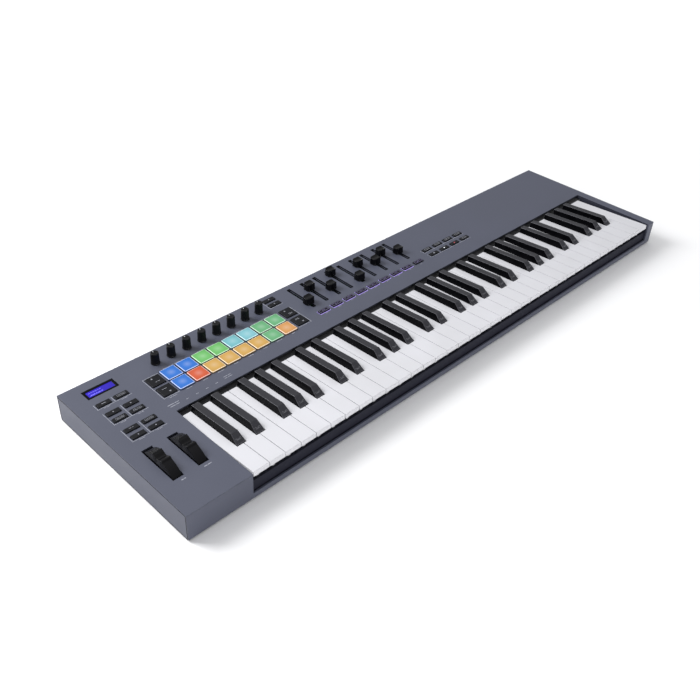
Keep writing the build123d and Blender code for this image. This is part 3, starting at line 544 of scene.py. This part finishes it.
def add_bar(mesh, x, y, width, depth, z, thickness):
    """A flat bar, square at its corners."""
    half_w, half_d = width / 2, depth / 2
    outline = [(half_w, half_d), (-half_w, half_d), (-half_w, -half_d), (half_w, -half_d)]
    add_slab(mesh, outline, x, y, z, thickness)


def add_outline_box(mesh, x, y, width, depth, line, z, thickness):
    """A thin frame of the given line width."""
    outer = rounded_outline(width, depth, 0.5 * MM, 2)
    inner = rounded_outline(width - 2 * line, depth - 2 * line, 0.3 * MM, 2)
    add_ring(mesh, outer, inner, x, y, z, thickness)


def piece(name, mesh, body, material, replaces=(), sharp=35, origin=None):
    """Turns a finished mesh into a piece that rides on a body."""
    bmesh.ops.recalc_face_normals(mesh, faces=mesh.faces)
    for face in mesh.faces:
        face.smooth = True
    for edge in mesh.edges:
        edge.smooth = edge.calc_face_angle(0) < radians(sharp)
    if origin:
        bmesh.ops.translate(mesh, verts=mesh.verts, vec=-Vector(origin))
    data = bpy.data.meshes.new(name)
    mesh.to_mesh(data)
    mesh.free()
    data.materials.append(material)
    made = bpy.data.objects.new(name, data)
    if origin:
        made.location = origin
    bpy.context.scene.collection.objects.link(made)
    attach(made, body)
    if replaces:
        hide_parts(*replaces)
    return made


# ---- Knobs ----
KNOB_RIBS = 22


def knob_radius(angle, radius, depth):
    """A knob's radius with shallow grip flutes."""
    return radius - depth * (0.5 + 0.5 * cos(KNOB_RIBS * angle)) ** 3


def knob_loop(x, y, z, radius, depth, count=KNOB_RIBS * 8):
    points = []
    for i in range(count):
        angle = 2 * pi * i / count
        reach = knob_radius(angle, radius, depth)
        points.append((x + reach * cos(angle), y + reach * sin(angle), z))
    return points


def knob(number):
    """A fluted, tapered cap with a flared skirt, a dished top and a shaft, and its pointer."""
    node = f"rotary_knob_{number}"
    low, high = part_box(node)
    x, y, top = (low.x + high.x) / 2, (low.y + high.y) / 2, high.z
    skirt = (high.x - low.x) / 2
    under = PANEL_TOP + 0.6 * MM
    shaft = 3.0 * MM
    crown = skirt * 0.87
    flute = 0.4 * MM
    rows = [
        (low.z, shaft, 0), (under, shaft, 0),
        (under, skirt - 0.3 * MM, 0), (under + 0.3 * MM, skirt, 0),
        (under + 0.8 * MM, skirt, 0), (under + 1.2 * MM, skirt - 0.4 * MM, 0.1 * MM),
        (under + 1.8 * MM, skirt - 0.45 * MM, flute), (top - 2.2 * MM, crown + 0.12 * MM, flute),
        (top - 1.3 * MM, crown + 0.04 * MM, 0.5 * flute), (top - 0.75 * MM, crown, 0),
        (top - 0.3 * MM, crown - 0.14 * MM, 0), (top - 0.06 * MM, crown - 0.42 * MM, 0),
        (top, crown - 0.75 * MM, 0), (top - 0.1 * MM, crown - 1.0 * MM, 0),
        (top - 0.28 * MM, crown - 1.5 * MM, 0), (top - 0.34 * MM, crown - 3.0 * MM, 0),
        (top - 0.34 * MM, 0.6 * MM, 0),
    ]
    mesh = bmesh.new()
    add_skin(mesh, [knob_loop(x, y, z, radius, depth) for z, radius, depth in rows])
    piece(node + "_cap", mesh, node, FINISHES["knob_plastic"], (node,), 50)
    mesh = bmesh.new()
    add_bar(mesh, x, y + crown - 1.9 * MM, 0.8 * MM, 2.0 * MM, top - 0.35 * MM, 0.2 * MM)
    piece(node + "_pointer", mesh, node, WHITE_INK)


# ---- Faders ----
def fader(number):
    """A ribbed finger grip with a dished top, and its stem."""
    node = f"fader_cap_{number}"
    low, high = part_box(node)
    x, y = middle((low, high)).xy
    width, depth = high.x - low.x, high.y - low.y
    under, top = PANEL_TOP + 0.3 * MM, high.z
    outline = rounded_outline(width, depth, 3.5 * MM, 10)
    dip = 1.8 * MM

    def surface(py):
        return top - dip * max(0.0, 1 - (2 * py / depth / 0.86) ** 2)

    def wall(z, inset, rib):
        loop = []
        for i, (px, py) in enumerate(outline):
            share = 1 - (inset + (rib if i % 2 else 0)) / (width / 2)
            loop.append((x + px * share, y + py * share, z if z else surface(py)))
        return loop

    def over(share, drop):
        return [(x + px * share, y + py * share, surface(py * share) - drop) for px, py in outline]

    rib = 0.32 * MM
    loops = [
        wall(under, 0.5 * MM, 0), wall(under + 0.5 * MM, 0, 0), wall(under + 1.2 * MM, 0.1 * MM, rib),
        wall(top - dip - 1.2 * MM, 0.45 * MM, rib), over(0.945, 0.75 * MM), over(0.935, 0.25 * MM),
        over(0.90, 0.04 * MM), over(0.86, 0.0),
    ]
    loops += [over(share, 0.0) for share in (0.74, 0.6, 0.45, 0.3, 0.15, 0.04)]
    mesh = bmesh.new()
    add_skin(mesh, loops)
    stem = [(1.2 * MM, 2.5 * MM), (-1.2 * MM, 2.5 * MM), (-1.2 * MM, -2.5 * MM), (1.2 * MM, -2.5 * MM)]
    add_slab(mesh, stem, x, y, low.z, under - low.z + 0.2 * MM)
    piece(node + "_grip", mesh, node, FADER_FINISH, (node,), 42)


# ---- Wheels ----
WHEEL_HALF_W = 6.25
WHEEL_R = 36.0
WHEEL_TOP = 35.92
WHEEL_HUB_R = 7.0
WHEEL_SPAN = 70
AXLE_R = 3.0
NEAR_REACH = 11.25
FAR_REACH = 12.75


def wheel_height(s):
    """How far the rim stands off its circle, in mm, at s mm along it from the top."""
    s = abs(s)
    if s < 5.7:
        return -3.2 * max(0.0, cos(s / 5.7 * pi / 2)) ** 1.3
    if s < 10.7:
        return 1.3 * max(0.0, sin((s - 5.7) / 5.0 * pi)) ** 1.4
    return 0.0


def wheel_outline(inset):
    """The wheel's outline (y, z) about its axle in mm, drawn in by inset."""
    points = []
    steps = [k * 0.45 for k in range(-24, 25)]
    degree = 180 / pi / WHEEL_R
    far = list(range(20, WHEEL_SPAN + 1, 5))
    angles = [-a for a in reversed(far)] + [s * degree for s in steps] + far
    for angle in angles:
        reach = WHEEL_R - inset + wheel_height(radians(angle) * WHEEL_R)
        points.append((reach * sin(radians(angle)), reach * cos(radians(angle))))
    for angle in range(100, 261, 20):
        reach = WHEEL_HUB_R - inset
        points.append((reach * sin(radians(angle)), reach * cos(radians(angle))))
    return points


def wheel(node, left_reach):
    """A thumb wheel: a dish between two ridges, rounded shoulders, its hub and its axle."""
    low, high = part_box(node)
    x, y = low.x + left_reach * MM, (low.y + high.y) / 2
    z = high.z - WHEEL_TOP * MM
    half = WHEEL_HALF_W
    stations = [
        (-half, 0.75), (-half + 0.1, 0.35), (-half + 0.35, 0.08), (-half + 0.75, 0.0),
        (half - 0.75, 0.0), (half - 0.35, 0.08), (half - 0.1, 0.35), (half, 0.75),
    ]
    mesh = bmesh.new()
    add_skin(mesh, [
        [(x + side * MM, y + py * MM, z + pz * MM) for py, pz in wheel_outline(inset)]
        for side, inset in stations
    ])
    for start, end in ((low.x, x - half * MM), (x + half * MM, high.x)):
        ring = circle_outline(AXLE_R * MM)
        add_skin(mesh, [[(at, y + py, z + pz) for py, pz in ring] for at in (start, end)])
    piece(node + "_disc", mesh, node, FINISHES["wheel_plastic"], (node,), 40)


def dress_cad():
    """Gives each carried-over CAD node its finish."""
    for name, node in NODES.items():
        own = node.data.materials[0].name.split(".")[0]
        node.data.materials[0] = NODE_FINISHES.get(name, FINISHES[own])


# ---- Pads ----
PAD_TONES = {
    "blue": colour(50, 114, 202), "green": colour(112, 186, 106), "cyan": colour(120, 184, 192),
    "pale_cyan": colour(130, 190, 200), "mint": colour(106, 172, 122), "red": colour(204, 92, 58),
    "amber": colour(204, 162, 88), "tan": colour(208, 152, 92),
}
PAD_ROWS = (
    ("blue", "red", "amber", "amber", "amber", "amber", "mint", "tan"),
    ("blue", "blue", "green", "green", "cyan", "pale_cyan", "mint", "mint"),
)


def pads():
    """Sixteen lit pads, each with a slightly crowned face and a moulded rim."""
    finishes = {name: pad_finish("pad_" + name, tone) for name, tone in PAD_TONES.items()}
    boxes = solid_boxes("performance_pads")
    for index, (low, high) in enumerate(boxes):
        column, row = divmod(index, 2)
        x, y, top = (low.x + high.x) / 2, (low.y + high.y) / 2, high.z
        width = high.x - low.x
        rows = [
            (low.z, 0.0), (top - 1.1 * MM, 0.0),
            (top - 0.55 * MM, 0.12 * MM), (top - 0.2 * MM, 0.4 * MM),
            (top - 0.05 * MM, 0.8 * MM), (top - 0.12 * MM, 1.25 * MM), (top - 0.12 * MM, 1.6 * MM),
            (top - 0.06 * MM, 3.0 * MM), (top, 6.5 * MM), (top, 10.4 * MM),
        ]
        mesh = bmesh.new()
        loops = []
        for z, inset in rows:
            size = width - 2 * inset
            radius = max(0.2 * MM, min(2.0 * MM, size / 2 - 0.01 * MM) - inset * 0.3)
            loops.append(placed(rounded_outline(size, size, min(radius, size / 2.05)), x, y, z))
        add_skin(mesh, loops)
        name = PAD_ROWS[row][column]
        replaced = ("performance_pads",) if index == 0 else ()
        piece(f"pad_{row + 1}_{column + 1}", mesh, "performance_pads",
              finishes[name], replaced, 40, origin=(x, y, top))


# ---- Screen ----
def screen():
    """A glossy bezel around the lit liquid crystal, with generic level bars on it."""
    low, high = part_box("display_window")
    x, y = middle((low, high)).xy
    width, depth = high.x - low.x, high.y - low.y
    view_w, view_d = 35.5 * MM, 10.5 * MM
    steps = 4
    mesh = bmesh.new()
    outer = rounded_outline(width, depth, 0.6 * MM, steps)
    rounded = rounded_outline(width - 0.4 * MM, depth - 0.4 * MM, 0.5 * MM, steps)
    lip = rounded_outline(view_w + 0.6 * MM, view_d + 0.6 * MM, 0.5 * MM, steps)
    inner = rounded_outline(view_w, view_d, 0.3 * MM, steps)
    add_skin(mesh, [
        placed(outer, x, y, low.z), placed(outer, x, y, high.z - 0.2 * MM),
        placed(rounded, x, y, high.z),
        placed(lip, x, y, high.z), placed(inner, x, y, high.z - 0.25 * MM), placed(inner, x, y, low.z),
    ], closed=True)
    piece("display_bezel", mesh, "case", FINISHES["window"], ("display_window",))
    glass_z = high.z - 0.5 * MM
    mesh = bmesh.new()
    add_slab(mesh, rounded_outline(view_w - 0.02 * MM, view_d - 0.02 * MM, 0.3 * MM, steps), x, y,
             low.z + 0.1 * MM, glass_z - low.z - 0.1 * MM)
    piece("display_glass", mesh, "case", screen_finish())
    screen_marks(x, y, view_w, view_d, glass_z)


def screen_marks(x, y, width, depth, z):
    """Rows of plain bars, as a level display shows."""
    mesh = bmesh.new()
    lengths = (2.6, 1.8, 2.2, 3.0, 1.6, 2.4)
    at = x - width / 2 + 2.2 * MM
    for length in lengths:
        add_bar(mesh, at + length * MM / 2, y + depth * 0.2, length * MM, 0.75 * MM, z, GLYPH_T)
        at += (length + 0.7) * MM
    for step in range(12):
        height = (0.8 + 1.4 * abs(sin(step * 1.3))) * MM
        add_bar(mesh, x - width / 2 + (2.6 + 1.5 * step) * MM, y - depth * 0.34 + height / 2, 0.9 * MM,
                height, z, GLYPH_T)
    glow = light_finish("display_light", colour(120, 116, 240), 0.8)
    piece("display_marks", mesh, "case", glow)


# ---- Glyphs on the buttons: each mark is drawn about x and y, standing on z ----
def add_triangle(mesh, x, y, size, turn, z):
    points = [(size * cos(turn + k * 2 * pi / 3), size * sin(turn + k * 2 * pi / 3)) for k in range(3)]
    add_slab(mesh, points, x, y, z, GLYPH_T)


def add_dot(mesh, x, y, radius, z):
    add_slab(mesh, circle_outline(radius, 16), x, y, z, GLYPH_T)


def add_dashes(mesh, x, y, lengths, line, z, gap=0.7 * MM):
    """A run of short strokes, centred, where the real object has words."""
    total = sum(lengths) + gap * (len(lengths) - 1)
    at = x - total / 2
    for length in lengths:
        add_bar(mesh, at + length / 2, y, length, line, z, GLYPH_T)
        at += length + gap


def glyph_box(mesh, x, y, z):
    add_outline_box(mesh, x, y, 11.0 * MM, 3.2 * MM, 0.3 * MM, z, GLYPH_T)
    add_dashes(mesh, x, y, (2.6 * MM, 1.6 * MM, 2.0 * MM), 0.45 * MM, z)


def glyph_dots(mesh, x, y, z):
    add_dashes(mesh, x, y, (1.4 * MM, 1.0 * MM, 1.4 * MM), 1.1 * MM, z)


def glyph_wave(mesh, x, y, z):
    add_dashes(mesh, x, y + 0.4 * MM, (3.0 * MM, 2.0 * MM), 0.55 * MM, z)


def glyph_left(mesh, x, y, z):
    add_triangle(mesh, x, y, 1.25 * MM, pi, z)


def glyph_right(mesh, x, y, z):
    add_triangle(mesh, x, y, 1.25 * MM, 0.0, z)


def glyph_point(mesh, x, y, z):
    add_dot(mesh, x, y, 0.85 * MM, z)


def menu_glyphs():
    """One mark per menu button, from the front row back, left column first."""
    marks = (
        glyph_left, glyph_wave, glyph_box, glyph_left, glyph_dots,
        glyph_point, glyph_box, glyph_box, glyph_right, glyph_box,
    )
    mesh = bmesh.new()
    for box, mark in zip(solid_boxes("menu_buttons"), marks):
        mark(mesh, *face_of(box))
    piece("menu_button_marks", mesh, "menu_buttons", GLYPH_INK)


def square_glyphs():
    """An arrow and label strokes: pointing back on the rear buttons, forward on the front ones."""
    mesh = bmesh.new()
    for index, box in enumerate(solid_boxes("square_buttons")):
        x, y, z = face_of(box)
        side = 1 if index % 2 else -1
        label_x = x + 1.2 * side * MM
        add_triangle(mesh, x - side * 2.4 * MM, y + side * 4.6 * MM, 1.7 * MM, side * pi / 2, z)
        add_dashes(mesh, label_x, y - side * 3.0 * MM, (2.6 * MM, 3.4 * MM), 0.6 * MM, z)
        if index > 1:
            add_dashes(mesh, label_x, y - side * 4.7 * MM, (3.0 * MM, 1.6 * MM), 0.6 * MM, z)
    piece("square_button_marks", mesh, "square_buttons", GLYPH_INK)


def bank_glyphs():
    """A forward arrow on the front bank button and a back one on the other."""
    mesh = bmesh.new()
    for index, box in enumerate(solid_boxes("bank_buttons")):
        x, y, z = face_of(box)
        add_triangle(mesh, x, y, 1.4 * MM, pi / 2 if index else -pi / 2, z)
    piece("bank_button_marks", mesh, "bank_buttons", GLYPH_INK)


def fader_button_glyphs():
    """An inner outline and a short stroke on each fader button."""
    mesh = bmesh.new()
    for box in solid_boxes("fader_buttons"):
        x, y, z = face_of(box)
        size = box[1] - box[0]
        add_outline_box(mesh, x, y, size.x - 2.6 * MM, size.y - 2.4 * MM, 0.4 * MM, z, GLYPH_T)
        add_dashes(mesh, x, y, (3.2 * MM, 1.8 * MM), 0.6 * MM, z)
    ink = ink_finish("violet_ink", colour(128, 118, 160))
    piece("fader_button_marks", mesh, "fader_buttons", ink)


def transport_glyphs():
    """Generic transport marks: outlines on the back row; a square, a lit triangle, a red dot and then
    outlines on the front row.
    """
    mesh = bmesh.new()
    lit = bmesh.new()
    record = bmesh.new()
    for index, box in enumerate(solid_boxes("transport_buttons")):
        x, y, z = face_of(box)
        column, back = divmod(index, 2)
        if back:
            add_outline_box(mesh, x, y, 10.5 * MM, 3.0 * MM, 0.5 * MM, z, GLYPH_T)
        elif column == 0:
            add_bar(mesh, x, y, 2.4 * MM, 2.4 * MM, z, GLYPH_T)
        elif column == 1:
            add_triangle(lit, x, y, 1.6 * MM, 0.0, z)
        elif column == 2:
            add_dot(record, x, y, 1.3 * MM, z)
        else:
            add_outline_box(mesh, x, y, 9.0 * MM, 3.0 * MM, 0.5 * MM, z, GLYPH_T)
    body = "transport_buttons"
    piece("transport_marks", mesh, body, GLYPH_INK)
    play_light = light_finish("play_light", colour(235, 240, 245), 1.2)
    piece("transport_play_mark", lit, body, play_light)
    record_ink = ink_finish("record_ink", colour(190, 84, 92))
    piece("transport_record_mark", record, body, record_ink)


# ---- Light guides ----
def fader_button_lights():
    """A violet light guide around each lit fader button, widest in front; the ninth is dark."""
    boxes = solid_boxes("fader_buttons")
    glow = light_finish("violet_light", colour(172, 152, 236), 0.95)
    for number, (low, high) in enumerate(boxes[:8], start=1):
        x, y = middle((low, high)).xy
        width, depth = high.x - low.x, high.y - low.y
        mesh = bmesh.new()
        gap = 0.36 * MM
        inner = rounded_outline(width + 2 * gap, depth + 2 * gap, 1.0 * MM, 4)
        outer = [(px * 1.04, py * 1.04 - (0.75 * MM if py < 0 else 0.2 * MM)) for px, py in inner]
        outer = [(px, py if py < 0 else max(py, depth / 2 + gap + 0.25 * MM)) for px, py in outer]
        add_ring(mesh, outer, inner, x, y, PANEL_TOP - 0.02 * MM, 0.14 * MM)
        piece(f"fader_button_light_{number}", mesh, "case", glow)


def end_seams():
    """The black gasket in the seam around each end plate."""
    low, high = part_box("end_caps")
    middle_y = (low.y + high.y) / 2
    middle_z = (low.z + high.z) / 2
    width, height = high.y - low.y, high.z - low.z
    outer = rounded_outline(width + 1.5 * MM, height + 1.6 * MM, 0.4 * MM, 2)
    inner = rounded_outline(width - 0.1 * MM, height - 0.1 * MM, 0.2 * MM, 2)
    mesh = bmesh.new()
    for start, end in ((low.x - 0.08 * MM, low.x + 1.6 * MM), (high.x - 1.6 * MM, high.x + 0.08 * MM)):
        add_skin(mesh, [
            [(at, middle_y + py, middle_z + pz) for py, pz in loop]
            for at, loop in ((start, outer), (end, outer), (end, inner), (start, inner))
        ], closed=True)
    piece("end_cap_gaskets", mesh, "case", TRIM_FINISH)


def fader_slots():
    """A flat black trim around the slot of every fader."""
    mesh = bmesh.new()
    for low, high in solid_boxes("fader_tracks"):
        x, y = middle((low, high)).xy
        outer = rounded_outline(6.0 * MM, 56.4 * MM, 1.2 * MM, 4)
        inner = rounded_outline(3.6 * MM, 53.6 * MM, 0.8 * MM, 4)
        add_ring(mesh, outer, inner, x, y, PANEL_TOP - 0.6 * MM, 0.7 * MM)
    piece("fader_slot_trims", mesh, "case", TRIM_FINISH)


# ---- Printing on the panel ----
LINE = 0.5 * MM


def bracket(mesh, box, sides, gap=1.9 * MM):
    """Thin lines beside a group of buttons, on the given sides: L, R, F or B."""
    low, high = box
    x, y = middle(box).xy
    width, depth = high.x - low.x + 2 * gap, high.y - low.y + 2 * gap
    if "F" in sides:
        add_bar(mesh, x, low.y - gap, width + LINE, LINE, PRINT_Z, PRINT_T)
    if "B" in sides:
        add_bar(mesh, x, high.y + gap, width + LINE, LINE, PRINT_Z, PRINT_T)
    if "L" in sides:
        add_bar(mesh, low.x - gap, y, LINE, depth - LINE, PRINT_Z, PRINT_T)
    if "R" in sides:
        add_bar(mesh, high.x + gap, y, LINE, depth - LINE, PRINT_Z, PRINT_T)


def panel_print():
    """Every printed line and label stroke on the top panel, in one mesh."""
    mesh = bmesh.new()
    z = PRINT_Z
    menu = solid_boxes("menu_buttons")
    for column in (menu[:5], menu[5:]):
        bracket(mesh, around(column[:2]), "LF")
        bracket(mesh, around(column[2:4]), "LF")
        bracket(mesh, column[4], "LF")
        for box in (column[0], column[2], column[4]):
            add_dashes(mesh, middle(box).x, box[0].y - 3.6 * MM, (3.0 * MM, 4.0 * MM), 0.5 * MM, z)
    squares = solid_boxes("square_buttons")
    bracket(mesh, around(squares[:2]), "LFB")
    bracket(mesh, around(squares[2:]), "RF")
    add_dashes(mesh, middle(squares[0]).x, squares[0][0].y - 4.4 * MM, (4 * MM, 6 * MM), 0.6 * MM, z)
    banks = solid_boxes("bank_buttons")
    bracket(mesh, around(banks), "LF", 1.5 * MM)
    pad_boxes = solid_boxes("performance_pads")
    for column in range(8):
        front = pad_boxes[2 * column]
        x = middle(front).x
        lengths = ((5 * MM, 3 * MM), (7 * MM,), (4 * MM, 5 * MM), (6 * MM,))[column % 4]
        add_dashes(mesh, x, front[0].y - 2.6 * MM, lengths, 0.6 * MM, z)
        if column % 2 == 0:
            back = pad_boxes[2 * column + 1]
            add_bar(mesh, x + 12 * MM, back[1].y + 2.4 * MM, 30 * MM, LINE, z, PRINT_T)
    strips = solid_boxes("fader_buttons")
    for low, high in strips:
        add_dashes(mesh, (low.x + high.x) / 2, low.y - 3.0 * MM, (2.4 * MM, 1.4 * MM), 0.45 * MM, z)
    transport = solid_boxes("transport_buttons")
    bracket(mesh, around(transport[0::2]), "LF", 1.4 * MM)
    bracket(mesh, around(transport[1::2]), "LF", 1.4 * MM)
    for node, lengths in (("pitch_wheel", (3 * MM, 2 * MM)), ("mod_wheel", (4 * MM, 5 * MM))):
        x = (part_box(node)[0].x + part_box(node)[1].x) / 2
        add_dashes(mesh, x + 2 * MM, CASE_LOW.y + 45 * MM, lengths, 0.9 * MM, z)
    key_labels(mesh)
    piece("panel_print", mesh, "case", PRINT_INK)


def key_labels(mesh):
    """Small function marks above the lowest keys and a label block beside them."""
    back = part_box("key_felts")[1].y
    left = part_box("keys_c")[0].x
    for row, lengths in enumerate(((9 * MM, 6 * MM), (7 * MM, 5 * MM))):
        add_dashes(mesh, left + 4 * MM, back + (7.2 - 3.6 * row) * MM, lengths, 0.7 * MM, PRINT_Z)
    for step in range(4):
        x = left + (22 + 14.5 * step) * MM
        add_dashes(mesh, x, back + 3.2 * MM, (1.6 * MM, 1.0 * MM), 0.8 * MM, PRINT_Z)
    for row, lengths in enumerate(((6 * MM, 4 * MM), (4 * MM, 7 * MM))):
        add_dashes(mesh, left + 84 * MM, back + (6.6 - 3.2 * row) * MM, lengths, 0.6 * MM, PRINT_Z)


# ---- Camera, floor and light ----
CAMERA_AT = Vector((-0.7966, -0.6433, 0.7105))
CAMERA_LOOKS_AT = Vector((-0.1348, -0.0226, 0.0200))
CAMERA_ROLL = radians(3.19)
CAMERA_LENS = 43.77
FLOOR_REACH = 12.0
FLOOR_GLOW = 0.32
# The floor starts to glow this far from its middle, and glows in full from there on.
FLOOR_GLOW_SPAN = (0.55, 1.6)
# The sky's level by height, from the horizon to straight up.
SKY = ((0.0, 0.34), (0.3, 0.42), (0.6, 0.80), (1.0, 0.92))
# The sky is dimmed towards this side, to the last level, between the two shares of facing it.
SKY_DIM_SIDE = (0.5, -0.86, 0)
SKY_DIM = {"From Min": -0.3, "From Max": 0.8, "To Min": 1.0, "To Max": 0.58}
# Place, aim, size and watts.
KEY_LIGHT = ((-1.2, 1.4, 1.5), (-0.2, 0, 0), (1.2, 1.2), 54)
FRONT_LIGHT = ((-0.3, -2.4, 0.42), (0, 0, 0.02), (2.4, 0.3), 26)


def camera():
    """The photograph's own view, solved from the keys and the corners of the case."""
    data = bpy.data.cameras.new("camera")
    data.lens = CAMERA_LENS
    made = bpy.data.objects.new("camera", data)
    bpy.context.scene.collection.objects.link(made)
    aim = (CAMERA_LOOKS_AT - CAMERA_AT).to_track_quat("-Z", "Y")
    made.matrix_world = Matrix.Translation(CAMERA_AT) @ aim.to_matrix().to_4x4() @ Matrix.Rotation(
        CAMERA_ROLL, 4, "Z")
    data.clip_start = 0.01
    bpy.context.scene.camera = made


def floor():
    """A white, very slightly mottled studio floor, with a painted glow that grows away from its
    middle.
    """
    made = Finish("floor_finish", Specular_IOR_Level=0.1, Emission_Strength=1.0)
    made.paint(made.ramp(made.noise(0.4), [
        (0.3, (0.93, 0.93, 0.935, 1)), (0.7, (0.95, 0.95, 0.955, 1)),
    ]))
    made.gloss(made.range(made.noise(0.1), 0.75, 0.85))
    away = made.node("VectorMath", Vector=made.place)
    away.operation = "LENGTH"
    made.glow(made.ramp(made.range(away.outputs["Value"], 0.0, 1.0, *FLOOR_GLOW_SPAN), [
        (0.0, (0.0, 0.0, 0.0, 1)), (1.0, (FLOOR_GLOW, FLOOR_GLOW, FLOOR_GLOW, 1)),
    ]))
    mesh = bmesh.new()
    corners = ((-1, -1), (1, -1), (1, 1), (-1, 1))
    square = [(sx * FLOOR_REACH, sy * FLOOR_REACH, 0) for sx, sy in corners]
    mesh.faces.new([mesh.verts.new(corner) for corner in square])
    data = bpy.data.meshes.new("floor")
    mesh.to_mesh(data)
    mesh.free()
    data.materials.append(made.material)
    plane = bpy.data.objects.new("floor", data)
    bpy.context.scene.collection.objects.link(plane)


def area_light(name, place, aim, size, watts):
    """A white soft box that points at a place."""
    data = bpy.data.lights.new(name, "AREA")
    data.shape = "RECTANGLE"
    data.size, data.size_y = size
    data.energy = watts
    made = bpy.data.objects.new(name, data)
    made.location = place
    made.rotation_euler = (Vector(aim) - Vector(place)).to_track_quat("-Z", "Y").to_euler()
    bpy.context.scene.collection.objects.link(made)


def lights():
    """A sky dim near the horizon and in front, a soft box behind on the left, a low one in front."""
    world = bpy.data.worlds.new("studio")
    bpy.context.scene.world = world
    world.use_nodes = True
    nodes, links = world.node_tree.nodes, world.node_tree.links
    background = nodes["Background"]
    direction = nodes.new("ShaderNodeTexCoord").outputs["Generated"]
    height = nodes.new("ShaderNodeSeparateXYZ")
    links.new(direction, height.inputs[0])
    ramp = nodes.new("ShaderNodeValToRGB")
    links.new(height.outputs["Z"], ramp.inputs["Fac"])
    elements = ramp.color_ramp.elements
    while len(elements) < len(SKY):
        elements.new(0.5)
    for element, (position, level) in zip(elements, SKY):
        element.position = position
        element.color = (0.98 * level, 0.985 * level, level, 1)
    links.new(ramp.outputs["Color"], background.inputs["Color"])
    toward = nodes.new("ShaderNodeVectorMath")
    toward.operation = "DOT_PRODUCT"
    links.new(direction, toward.inputs[0])
    toward.inputs[1].default_value = SKY_DIM_SIDE
    dim = nodes.new("ShaderNodeMapRange")
    links.new(toward.outputs["Value"], dim.inputs["Value"])
    for key, value in SKY_DIM.items():
        dim.inputs[key].default_value = value
    links.new(dim.outputs["Result"], background.inputs["Strength"])
    area_light("key_light", *KEY_LIGHT)
    area_light("front_light", *FRONT_LIGHT)
    bpy.context.scene.view_settings.view_transform = "Standard"


# ---- The object ----
dress_cad()
for number in range(1, 9):
    knob(number)
for number in range(1, 10):
    fader(number)
pads()
screen()
menu_glyphs()
square_glyphs()
bank_glyphs()
fader_button_glyphs()
transport_glyphs()
fader_button_lights()
fader_slots()
end_seams()
wheel("pitch_wheel", NEAR_REACH)
wheel("mod_wheel", FAR_REACH)
panel_print()
floor()
lights()
camera()
